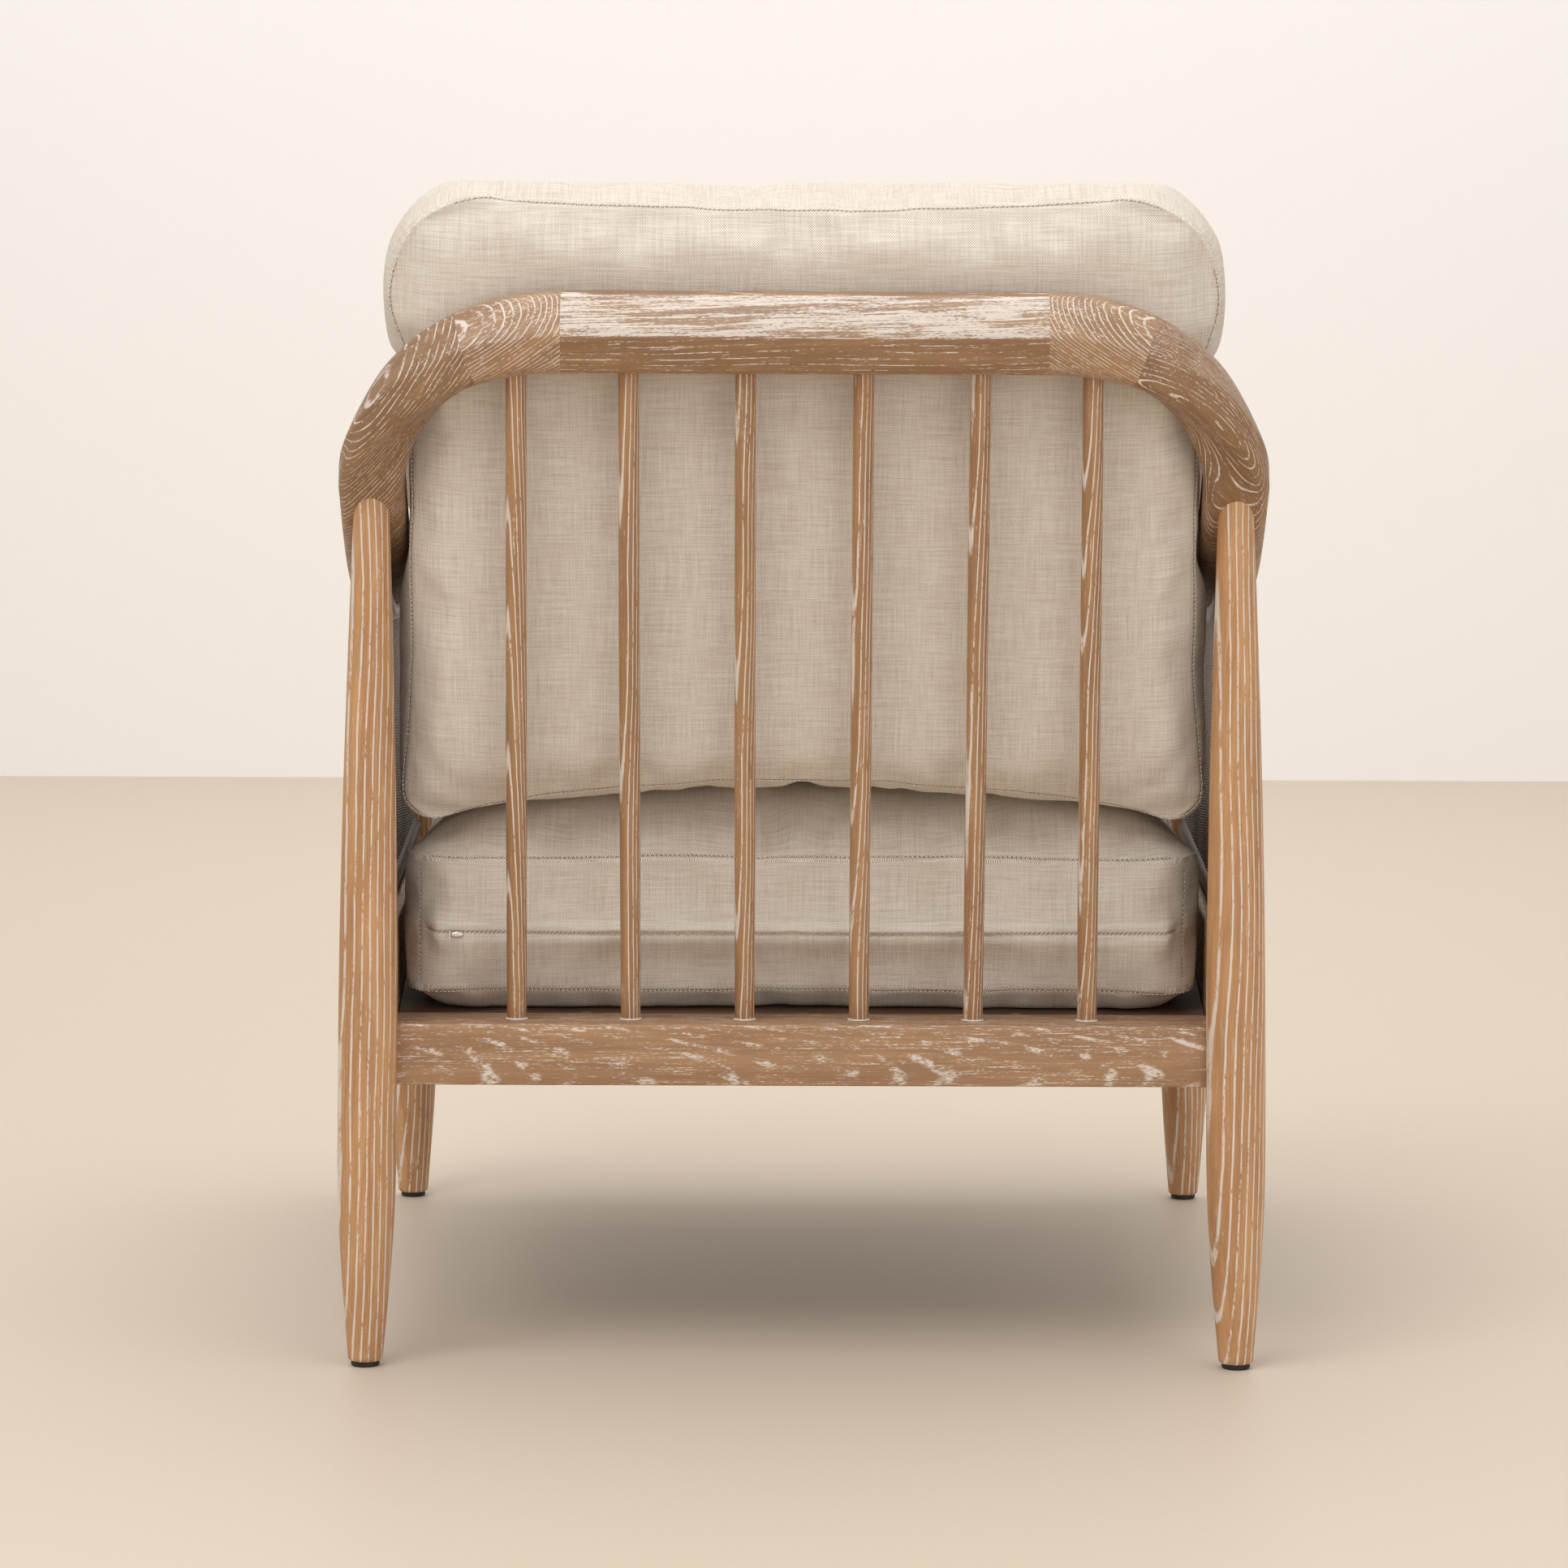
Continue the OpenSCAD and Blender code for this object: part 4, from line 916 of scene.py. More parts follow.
class ARMCHAIR_OT_spindles(bpy.types.Operator):
    """Round back spindles and the filler round their feet"""

    bl_idname = "armchair.spindles"
    bl_label = "Back spindles"

    def execute(self, context):
        w = settings("wood")
        oak = look("limed_oak")
        lines, feet = [], []
        foot_y = w.rear_y - 0.029
        for k in range(w.spindle_count):
            x = mix(-w.spindle_half, w.spindle_half, k / (w.spindle_count - 1))
            foot = np.array([x, foot_y, w.rail_top])
            head = np.array([x - 0.0055 * (x / w.spindle_half) ** 3, w.crest_y, w.crest_height])
            run = unit(head - foot)
            lines.append([foot - 0.016 * run, head - 0.006 * run])
            feet.append((foot, run))
        rods = line_mesh("spindles_oak", lines, {})
        grow(rods, turned_tree(), {
            "Diameter": w.spindle_d, "Taper": 0.05, "Sides": 40, "Lime": 0.16, "Ring": 0.0036,
            "Cut": (0.9, -0.06, 0.0), "Seed": 3, "Material": oak})
        names = [f"spindle_{k + 1}" for k in range(w.spindle_count)]
        dress(rods, None, "frame", names, sharp=50)
        verts, faces = [], []
        for foot, run in feet:
            for r, z in ((w.spindle_d / 2 - 0.0004, 0.0014), (w.spindle_d / 2 + 0.0009, 0.0002)):
                for a in np.linspace(0, 2 * math.pi, 32, endpoint=False):
                    around = (r * math.cos(a) + run[0] * z, r * math.sin(a) + run[1] * z, z)
                    verts.append(foot + np.array(around))
            base = len(verts) - 64
            for j in range(32):
                n = (j + 1) % 32
                faces.append((base + j, base + 32 + j, base + 32 + n, base + n))
        make("spindle_filler", verts, faces, look("lime_filler"), "frame")
        return {"FINISHED"}


# ---- Woven sides ----
class ARMCHAIR_OT_weave(bpy.types.Operator):
    """Woven cord panel and wound bars of each side"""

    bl_idname = "armchair.weave"
    bl_label = "Woven sides"

    def execute(self, context):
        w, v = settings("wood"), settings("weave")
        cord = look("brown_cord")
        bow = Bow(w)
        tree = cord_tree()
        run = math.hypot(w.rear_y - w.front_y, w.front_x - w.side_rear_x)
        start, stop = w.leg_belly / 2 + 0.0012, run - w.leg_belly / 2 - 0.0012
        upper = []
        for u in np.concatenate([np.linspace(1.12, 2, 60), np.linspace(2.01, 3, 30)]):
            upper.append(bow.point(u) - v.bar_drop * bow.axes(u)[1])
        upper = np.array(upper)
        far = (w.rear_y - upper[:, 1]) * run / (w.rear_y - w.front_y)

        def roof(s):
            return np.interp(s, far, upper[:, 2])

        low = v.lower_bar_z
        rows = int((roof(start) - low) / v.row_pitch)
        for side, word in ((1, "left"), (-1, "right")):
            place = side_place(w, side)

            def put(line):
                return [place @ Vector(p) for p in line]

            normal = place.to_3x3() @ Vector((1, 0, 0))
            lines, swings = [], []
            for r in range(1, rows):
                z = low + r * v.row_pitch
                steps = np.arange(start, stop, v.warp_pitch / 4)
                steps = steps[roof(steps) - 0.004 > z]
                if len(steps) < 6:
                    continue
                lines.append(put([(0, -s, z) for s in steps]))
                swing = np.cos(math.pi * (steps - start) / v.warp_pitch + math.pi * r)
                swing = np.sign(swing) * np.abs(swing) ** 0.7
                swings += [tuple(normal * float(k)) for k in swing]
            obj = line_mesh(f"weave_rows_{word}", lines, {"swing": ("FLOAT_VECTOR", swings)})
            grow(obj, tree, {"Diameter": v.cord_d, "Swing": v.swing, "Sides": 6, "Material": cord})
            dress(obj, None, "frame", (f"cord_panel_{word}",))
            lines, swings = [], []
            for k in range(int((stop - start) / v.warp_pitch) + 1):
                s = start + k * v.warp_pitch
                heights = np.arange(low, roof(s), v.row_pitch * 2)
                for shift in (-0.0011, 0.0011):
                    lines.append(put([(0, -s - shift, z) for z in heights]))
                    swings += [(0, 0, 0)] * len(heights)
            obj = line_mesh(f"weave_uprights_{word}", lines, {"swing": ("FLOAT_VECTOR", swings)})
            grow(obj, tree, {"Diameter": v.cord_d * 0.78, "Swing": 0.0, "Sides": 6, "Material": cord})
            dress(obj, None, "frame")
            lines = []
            turns = np.radians(np.linspace(-148, 148, 15))
            whole_turn = np.radians(np.linspace(-180, 180, 19))
            wrap = v.bar_d / 2 + v.cord_d / 2
            for s in np.arange(start + 0.002, stop, v.cord_d * 1.02):
                lines.append(put([(wrap * math.sin(a), -s, low - wrap * math.cos(a)) for a in whole_turn]))
                if roof(s) < roof(start) - 0.001:
                    slope = (roof(s + 0.002) - roof(s - 0.002)) / 0.004
                    over = [(wrap * math.sin(a), wrap * math.cos(a)) for a in turns]
                    lines.append(put([(p, -s - slope * q * 0.8, roof(s) - q) for p, q in over]))
            still = [(0, 0, 0)] * sum(map(len, lines))
            obj = line_mesh(f"bar_winding_{word}", lines, {"swing": ("FLOAT_VECTOR", still)})
            grow(obj, tree, {"Diameter": v.cord_d, "Swing": 0.0, "Sides": 6, "Material": cord})
            dress(obj, None, "frame")
        return {"FINISHED"}


# ---- Cushions ----
SEAT_TILT = math.radians(-4)
DECK = np.array([0.0, 0.239937, 0.239])
BACK_FOOT = np.array([0.0, 0.268937, 0.241])


def tilt_frame(origin, angle):
    """A cushion's own frame: z along its lean and y towards the rear."""
    return Matrix.Translation(origin) @ Matrix.Rotation(angle, 4, "X")


def through(place, co):
    return np.asarray(co) @ np.array(place.to_3x3()).T + np.array(place.translation)


class BoxGrid:
    """Even grid of a boxed cover: two panels joined by a band, with round corners in plan.
    Plan positions are (a, b); the band runs from level 0 to 1."""

    def __init__(self, half_a, length_b, corners, step, levels):
        self.na, self.nb = round(2 * half_a / step), round(length_b / step)
        self.half_a, self.length_b, self.round = half_a, length_b, corners
        self.levels = levels
        self.faces = []
        na, nb = self.na, self.nb
        grid = []
        for i in range(na + 1):
            a = mix(-half_a, half_a, i / na)
            grid.append([self.plan(a, mix(0, length_b, j / nb)) for j in range(nb + 1)])
        self.edge = ([(i, 0) for i in range(na)] + [(na, j) for j in range(nb)]
                     + [(i, nb) for i in range(na, 0, -1)] + [(0, j) for j in range(nb, 0, -1)])
        co, index = [], {}
        for k, level in ((0, 0.0), (1, 1.0)):
            for i in range(na + 1):
                for j in range(nb + 1):
                    index[k, i, j] = len(co)
                    co.append((*grid[i][j], level))
        self.rows = [[index[0, i, j] for i, j in self.edge]]
        for level in levels[1:-1]:
            row = []
            for i, j in self.edge:
                row.append(len(co))
                co.append((*grid[i][j], level))
            self.rows.append(row)
        self.rows.append([index[1, i, j] for i, j in self.edge])
        for i in range(na):
            for j in range(nb):
                around = ((i, j), (i + 1, j), (i + 1, j + 1), (i, j + 1))
                self.faces.append(tuple(index[0, p, q] for p, q in (around[0], *around[:0:-1])))
                self.faces.append(tuple(index[1, p, q] for p, q in around))
        n = len(self.edge)
        for low, high in zip(self.rows, self.rows[1:]):
            for k in range(n):
                m = (k + 1) % n
                self.faces.append((low[k], low[m], high[m], high[k]))
        self.co = np.array(co)

    def plan(self, a, b):
        """Bends the grid's corners round."""
        ha, hb = self.half_a, self.length_b / 2
        r = self.round[0] if b < hb else self.round[1]
        p, q = (abs(a) - (ha - r)) / r, (abs(b - hb) - (hb - r)) / r
        if p <= 0 or q <= 0:
            return a, b
        pa, qa = p * math.sqrt(1 - q * q / 2), q * math.sqrt(1 - p * p / 2)
        return math.copysign(ha - r + r * pa, a), hb + math.copysign(hb - r + r * qa, b - hb)

    def turn_outward(self, co):
        """Winds the faces so that they look away from the inside of the placed cover."""
        f = np.array(self.faces)
        n = np.cross(co[f[:, 2]] - co[f[:, 0]], co[f[:, 3]] - co[f[:, 1]])
        if np.sum((co[f].mean(1) - co.mean(0)) * n) < 0:
            self.faces = [face[::-1] for face in self.faces]

    def corners(self):
        """Where along the edge the four rounded corners have their middles."""
        na, nb = self.na, self.nb
        return 0, na, na + nb, 2 * na + nb


def inflate(obj, seams, limit, pressure, shrink):
    """Fills the cover by a short cloth run with inner pressure, then caps how far each point moved."""
    before = points_of(obj.data)
    group = obj.vertex_groups.new(name="seams")
    group.add([int(i) for i in seams], 1.0, "REPLACE")
    cloth = obj.modifiers.new("fill", "CLOTH")
    s = cloth.settings
    s.quality = 5
    s.mass = 0.25
    s.tension_stiffness = s.compression_stiffness = 16
    s.shear_stiffness = 6
    s.bending_stiffness = 0.6
    s.tension_damping = s.compression_damping = s.shear_damping = 8
    s.air_damping = 3
    s.use_pressure = True
    s.uniform_pressure_force = pressure
    s.vertex_group_shrink = "seams"
    s.shrink_min = 0.0
    s.shrink_max = shrink
    s.effector_weights.gravity = 0
    cloth.collision_settings.use_collision = False
    cloth.collision_settings.use_self_collision = False
    cloth.point_cache.frame_start = 1
    cloth.point_cache.frame_end = 20
    scene = bpy.context.scene
    for f in range(1, 21):
        scene.frame_set(f)
    graph = bpy.context.evaluated_depsgraph_get()
    after = points_of(obj.evaluated_get(graph).data)
    obj.modifiers.clear()
    obj.vertex_groups.clear()
    scene.frame_set(1)
    move = after - before
    far = np.linalg.norm(move, axis=1, keepdims=True)
    return before + move * (limit * np.tanh(far / limit) / np.maximum(far, 1e-9))


def normals_of(co, faces):
    f = np.array(faces)
    n = np.cross(co[f[:, 2]] - co[f[:, 0]], co[f[:, 3]] - co[f[:, 1]])
    out = np.zeros_like(co)
    for k in range(4):
        np.add.at(out, f[:, k], n)
    return unit(out + 1e-12)


def press(values, limit, soft):
    """Flattens values that would pass limit, starting softly before it."""
    over = values - (limit - soft)
    return np.where(over > 0, limit - soft + soft * np.tanh(over / soft), values)


def refit(values, sample, low, high):
    """Stretches one coordinate so that the sampled points just span low to high."""
    least, most = np.percentile(values[sample], (2, 98))
    return low + (values - least) * (high - low) / (most - least)


def soft_wave(co, seed, scale):
    """Smooth unevenness from a few fixed waves, from -1 to 1."""
    rng = np.random.default_rng(seed)
    total = np.zeros(len(co))
    for _ in range(9):
        d = unit(rng.normal(size=3)) * rng.uniform(0.6, 1.5) * 2 * math.pi / scale
        total += np.sin(co @ d + rng.uniform(0, 2 * math.pi)) * rng.uniform(0.4, 1)
    return total / 4.5


def finish_cover(name, co, grid, grooves, facing, material, body, node):
    mesh = bpy.data.meshes.new(name)
    mesh.from_pydata([tuple(p) for p in co], [], grid.faces)
    set_attribute(mesh, "facing", "FLOAT_VECTOR", facing)
    work = bmesh.new()
    work.from_mesh(mesh)
    keys = {}
    for line, depth, width in grooves:
        for a, b in zip(line, line[1:]):
            keys[frozenset((a, b))] = (depth, width)
    wanted = {}
    for edge in work.edges:
        key = frozenset((edge.verts[0].index, edge.verts[1].index))
        if key in keys:
            wanted.setdefault(keys[key], []).append(edge)
    for (_, width), edges in wanted.items():
        edges = [e for e in edges if e.is_valid]
        bmesh.ops.bevel(work, geom=edges, offset=width, segments=2, profile=0.5, affect="EDGES")
    bmesh.ops.recalc_face_normals(work, faces=work.faces)
    work.to_mesh(mesh)
    work.free()
    obj = bpy.data.objects.new(name, mesh)
    bpy.context.scene.collection.objects.link(obj)
    here = points_of(mesh)
    normal = np.zeros(len(here) * 3)
    mesh.vertices.foreach_get("normal", normal)
    normal = normal.reshape(-1, 3)
    tree = KDTree(sum(len(g[0]) for g in grooves))
    depths = []
    for line, depth, width in grooves:
        for i in line:
            tree.insert(Vector(co[i]), len(depths))
            depths.append((depth, width))
    tree.balance()
    sink = np.zeros(len(here))
    crease = np.zeros(len(here))
    for k, p in enumerate(here):
        _, at, far = tree.find(Vector(p))
        depth, width = depths[at]
        if far < width * 0.35:
            sink[k] = depth
            crease[k] = 1.0
        elif far < width * 1.5:
            sink[k] = -0.25 * depth
    set_points(mesh, here - normal * sink[:, None])
    # 'crease' marks the seam grooves, where the linen shader paints shade.
    set_attribute(mesh, "crease", "FLOAT", crease)
    smooth = obj.modifiers.new("smooth", "SUBSURF")
    smooth.levels = smooth.render_levels = 1
    graph = bpy.context.evaluated_depsgraph_get()
    final = bpy.data.meshes.new_from_object(obj.evaluated_get(graph), depsgraph=graph)
    obj.modifiers.clear()
    obj.data = final
    dress(obj, material, body, (node,))
    return obj


def blown_up(name, co, place, grid, seams, limit):
    """The cover swollen by cloth pressure, in its own frame."""
    world = through(place, co)
    grid.turn_outward(world)
    mesh = bpy.data.meshes.new(name)
    mesh.from_pydata([tuple(p) for p in world], [], grid.faces)
    obj = bpy.data.objects.new(name, mesh)
    bpy.context.scene.collection.objects.link(obj)
    co = through(place.inverted(), inflate(obj, seams, limit, 4.0, 0.035))
    bpy.data.objects.remove(obj)
    return co


def keep_lines(word, world, normal, lines):
    """Keeps the seam lines of a cushion and the way the cover faces there, for the stitches."""
    bpy.context.scene[f"armchair_{word}_lines"] = json.dumps({
        "lines": [[list(world[i]) for i in line] for line in lines],
        "normals": [[list(normal[i]) for i in line] for line in lines],
    })


def core(name, co, grid, inset, material, body, node):
    """Foam core: the cover's own shape, drawn in."""
    inner = co - normals_of(co, grid.faces) * inset
    obj = make(name, inner, grid.faces, material, body, (node,))
    return obj


class ARMCHAIR_OT_seat_cushion(bpy.types.Operator):
    """Boxed seat cushion with a zip in its rear band"""

    bl_idname = "armchair.seat_cushion"
    bl_label = "Seat cushion"

    def execute(self, context):
        c = settings("cushions")
        low_seam, high_seam = 0.0135, 0.1135
        half, length = 0.2725, 0.604
        step = c.step * 1
        zip_level = (c.zip_z - low_seam) / (high_seam - low_seam)
        n_low = round(zip_level * 0.1 / step)
        n_high = round((1 - zip_level) * 0.1 / step)
        levels = list(np.linspace(0, zip_level, n_low + 1)) + list(np.linspace(zip_level, 1, n_high + 1))[1:]
        grid = BoxGrid(half, length, (0.034, 0.034), step, levels)
        a, b, level = grid.co.T
        x, y = a, -0.005 - b
        z = mix(low_seam, high_seam, level)
        fa = np.clip(1 - np.abs(a / half) ** 4, 0, 1)
        fb = np.clip(1 - np.abs(b / (length / 2) - 1) ** 5, 0, 1)
        crown = fa * fb
        z = z + np.where(level >= 1, 0.022 * crown, 0)
        z = z - np.where(level <= 0, 0.0095 * np.clip(crown * 3, 0, 1), 0)
        place = tilt_frame(DECK, SEAT_TILT)
        low_row, high_row = grid.rows[0], grid.rows[-1]
        ring = len(grid.edge)
        uprights = [[row[k] for row in grid.rows] for k in grid.corners()]
        seams = low_row + high_row + sum(uprights, [])
        x, y, z = blown_up("seat_fill", np.stack([x, y, z], 1), place, grid, seams, c.crown_limit).T
        x = refit(x, high_row, -0.2780, 0.2780)
        y = refit(y, high_row, -0.6060, -0.0030)
        x = np.sign(x) * press(np.abs(x), 0.2845, 0.006)
        y = press(y, 0.0115, 0.006)
        top = 0.1425 + 0.0125 * np.clip(1 - (x / 0.276) ** 2, 0, 1)
        under_back = ease((y + 0.235) / 0.03)
        z = np.where(level >= 1, np.where(z > top, mix(z, top - 0.0006, under_back), z), z)
        z = np.where(z > 0.158, 0.158 + (z - 0.158) * 0.3, z)
        z = np.maximum(z, 0.0008)
        rear = (level > 0) & (level < 1) & (y > -0.03) & (np.abs(x) < 0.262)
        near = np.exp(-((z - c.zip_z) / 0.012) ** 2) * rear
        y = mix(y, 0.0085, near)
        co = np.stack([x, y, z], 1)
        world = through(place, co)
        normal = normals_of(world, grid.faces)
        wave = soft_wave(world, 5, 0.11) * 0.0011 + soft_wave(world, 8, 0.045) * 0.0004
        quiet = 1 - np.exp(-((z - c.zip_z) / 0.02) ** 2) * rear
        world = world + normal * (wave * quiet * (z > 0.004))[:, None]
        zip_row = grid.rows[n_low]
        reach = [k for k in range(0, grid.na + 1)]
        zip_line = [zip_row[k % ring] for k in reach][1:-1]
        grooves = [
            (low_row + low_row[:1], c.seam_groove, 0.0015),
            (high_row + high_row[:1], c.seam_groove, 0.0015),
            (zip_line, 0.0030, 0.0022),
        ] + [(u, c.seam_groove * 0.8, 0.0013) for u in uprights]
        n = np.abs(through(Matrix.Rotation(-SEAT_TILT, 4, "X"), normal))
        on_panel = ((level >= 1) | (level <= 0))[:, None]
        facing = np.where(on_panel, (0.0, 0.0, 1.0), n * (1, 1, 0))
        linen = look("seat_linen")
        finish_cover("seat_cushion_linen", world, grid, grooves, facing, linen,
                     "seat_cushion", "seat_cushion_cover")
        core("seat_foam_core", world, grid, 0.005, look("foam"), "seat_cushion", "seat_cushion_foam")
        keep_lines("seat", world, normal, [low_row + low_row[:1], high_row + high_row[:1]] + uprights)
        return {"FINISHED"}


class ARMCHAIR_OT_back_cushion(bpy.types.Operator):
    """Boxed back cushion leaning on the spindles"""

    bl_idname = "armchair.back_cushion"
    bl_label = "Back cushion"

    def execute(self, context):
        c = settings("cushions")
        step = c.step * 1
        half, tall, thick = 0.2725, 0.432, 0.118
        levels = list(np.linspace(0, 1, round(thick / step) + 1))
        grid = BoxGrid(half, tall, (0.036, 0.068), step, levels)
        a, b, level = grid.co.T
        up = b / tall
        bow_out = ease((b - 0.30) / 0.07)
        band = (1 - (2 * level - 1) ** 2) * (np.abs(a) > 0.8 * half)
        x = a * mix(1.004, 1.022, bow_out)
        y = -0.042 - thick * (1 - level)
        base = 0.140 + 0.268 * (y + 0.042)
        arch = 0.020 * (1 - (a / half) ** 2) * (1 - ease(b / 0.20))
        z = mix(base, base[level >= 1].mean() + tall, up) + arch
        z = z - 0.006 * (a / half) ** 4 * ease((b - 0.3) / 0.1)
        crown = np.clip(1 - np.abs(a / half) ** 4, 0, 1) * np.clip(1 - np.abs(2 * up - 1) ** 4, 0, 1)
        y = y + np.where(level >= 1, 0.006 * crown, 0) - np.where(level <= 0, 0.016 * crown, 0)
        place = tilt_frame(BACK_FOOT, -settings("wood").recline)
        low_row, high_row = grid.rows[0], grid.rows[-1]
        seams = low_row + high_row
        x, y, z = blown_up("back_fill", np.stack([x, y, z], 1), place, grid, seams, c.crown_limit).T
        x = refit(x, high_row, -0.2805, 0.2805)
        x = x + np.sign(x) * 0.008 * band
        z = refit(z, high_row, 0.1400, 0.5720)
        z = z - 0.010 * (np.abs(a) / half) ** 6 * (1 - ease(b / 0.10)) * ease(level)
        y = press(y, -0.0232, 0.008)
        here = through(place, np.stack([x, y, z], 1))
        bow = Bow(settings("wood"))
        line = np.array([bow.point(u) for u in np.linspace(0.45, 3, 120)])
        far = np.min(np.linalg.norm(here[:, None, 1:] - line[None, :, 1:], axis=2), axis=1)
        room = mix(0.2835, 0.2895, ease((here[:, 2] - 0.62) / 0.10))
        room = mix(0.2742, room, ease((far - 0.023) / 0.014))
        x = np.sign(x) * press(np.abs(x), room, 0.006)
        world = through(place, np.stack([x, y, z], 1))
        deck = tilt_frame(DECK, SEAT_TILT)
        on_seat = through(deck.inverted(), world)
        floor = 0.1434 + 0.0125 * np.clip(1 - (on_seat[:, 0] / 0.276) ** 2, 0, 1)
        to_side = ease((np.abs(on_seat[:, 0]) - 0.225) / 0.05)
        floor = floor - 0.010 * to_side * ease((on_seat[:, 1] + 0.05) / 0.03)
        soft = 0.008
        above = on_seat[:, 2] - floor - soft
        on_seat[:, 2] = np.where(above < 0, floor + soft * np.exp(above / soft), on_seat[:, 2])
        world = through(deck, on_seat)
        world[:, 2] = np.minimum(world[:, 2], 0.8235)
        normal = normals_of(world, grid.faces)
        wave = soft_wave(world, 15, 0.12) * 0.0012 + soft_wave(world, 18, 0.05) * 0.0004
        world = world + normal * wave[:, None]
        grooves = [
            (low_row + low_row[:1], c.seam_groove, 0.0015),
            (high_row + high_row[:1], c.seam_groove, 0.0015),
        ]
        n = np.abs(through(Matrix.Rotation(settings("wood").recline, 4, "X"), normal))
        on_panel = ((level >= 1) | (level <= 0))[:, None]
        facing = np.where(on_panel, (0.0, 1.0, 0.0), n * (1, 0, 1))
        linen = look("back_linen")
        finish_cover("back_cushion_linen", world, grid, grooves, facing, linen,
                     "back_cushion", "back_cushion_cover")
        core("back_foam_core", world, grid, 0.005, look("foam"), "back_cushion", "back_cushion_foam")
        keep_lines("back", world, normal, [low_row + low_row[:1], high_row + high_row[:1]])
        return {"FINISHED"}


def stitch_tree():
    """Small threads set along a line, turned by turns to one side and the other."""
    tree, t, given = geometry_tree("stitches along a line", (
        ("Spacing", "NodeSocketFloat", 0.0032),
        ("Length", "NodeSocketFloat", 0.0026),
        ("Thread", "NodeSocketFloat", 0.0006),
        ("Slant", "NodeSocketFloat", 0.5),
        ("Seed", "NodeSocketInt", 4),
        ("Material", "NodeSocketMaterial", None),
    ))
    face = t.node("GeometryNodeInputNamedAttribute", {"Name": "face"}, data_type="FLOAT_VECTOR").outputs[0]
    curve = t.node("GeometryNodeMeshToCurve", {"Mesh": given["Geometry"]})
    points = t.node("GeometryNodeCurveToPoints", {"Curve": curve, "Length": given["Spacing"]}, mode="LENGTH")
    index = t.node("GeometryNodeInputIndex").outputs[0]
    turn = t.math("SUBTRACT", t.math("MULTIPLY", t.math("MODULO", index, 2.0), 2.0), 1.0)
    along = t.node("FunctionNodeAlignRotationToVector", {"Vector": points.outputs["Tangent"]}, axis="X")
    settled = t.node("FunctionNodeAlignRotationToVector", {"Rotation": along.outputs[0], "Vector": face},
                     axis="Z", pivot_axis="X")
    slanted = t.node("FunctionNodeRotateRotation", {
        "Rotation": settled.outputs[0],
        "Rotate By": t.join(0.0, 0.0, t.math("MULTIPLY", turn, given["Slant"])),
    }, rotation_space="LOCAL")
    thread = t.node("GeometryNodeMeshUVSphere", {"Segments": 6, "Rings": 4, "Radius": 0.5})
    jitter = t.node("FunctionNodeRandomValue", {"Min": 0.85, "Max": 1.15, "Seed": given["Seed"]},
                    data_type="FLOAT")
    size = t.join(t.math("MULTIPLY", given["Length"], jitter.outputs[1]), given["Thread"], given["Thread"])
    placed = t.node("GeometryNodeInstanceOnPoints", {
        "Points": points, "Instance": thread, "Rotation": slanted.outputs[0], "Scale": size})
    end_tree(t, placed.outputs[0], given["Material"])
    return tree


def repeat_tree():
    """Small blocks at even spacing along a line, such as the teeth of a zip coil."""
    tree, t, given = geometry_tree("blocks along a line", (
        ("Spacing", "NodeSocketFloat", 0.0016),
        ("Size", "NodeSocketVector", (0.0008, 0.0012, 0.0032)),
        ("Material", "NodeSocketMaterial", None),
    ))
    curve = t.node("GeometryNodeMeshToCurve", {"Mesh": given["Geometry"]})
    points = t.node("GeometryNodeCurveToPoints", {"Curve": curve, "Length": given["Spacing"]}, mode="LENGTH")
    block = t.node("GeometryNodeMeshUVSphere", {"Segments": 6, "Rings": 4, "Radius": 0.5})
    placed = t.node("GeometryNodeInstanceOnPoints", {
        "Points": points, "Instance": block, "Scale": given["Size"]})
    end_tree(t, placed.outputs[0], given["Material"])
    return tree


class ARMCHAIR_OT_stitches(bpy.types.Operator):
    """Threads along the seams of both cushions"""

    bl_idname = "armchair.stitches"
    bl_label = "Seam stitches"

    def execute(self, context):
        c = settings("cushions")
        tree = stitch_tree()
        thread = look("thread")
        for word, body in (("seat", "seat_cushion"), ("back", "back_cushion")):
            held = json.loads(context.scene[f"armchair_{word}_lines"])
            lines, faces = [], []
            for line, normal in zip(held["lines"], held["normals"]):
                p, n = np.array(line), np.array(normal)
                lines.append(p - n * 0.0002)
                faces += [tuple(v) for v in n]
            obj = line_mesh(f"{word}_seam_stitches", lines, {"face": ("FLOAT_VECTOR", faces)})
            grow(obj, tree, {"Spacing": c.stitch, "Length": 0.0030, "Thread": 0.0007, "Slant": 0.55,
                             "Seed": 4, "Material": thread})
            dress(obj, None, body)
        return {"FINISHED"}


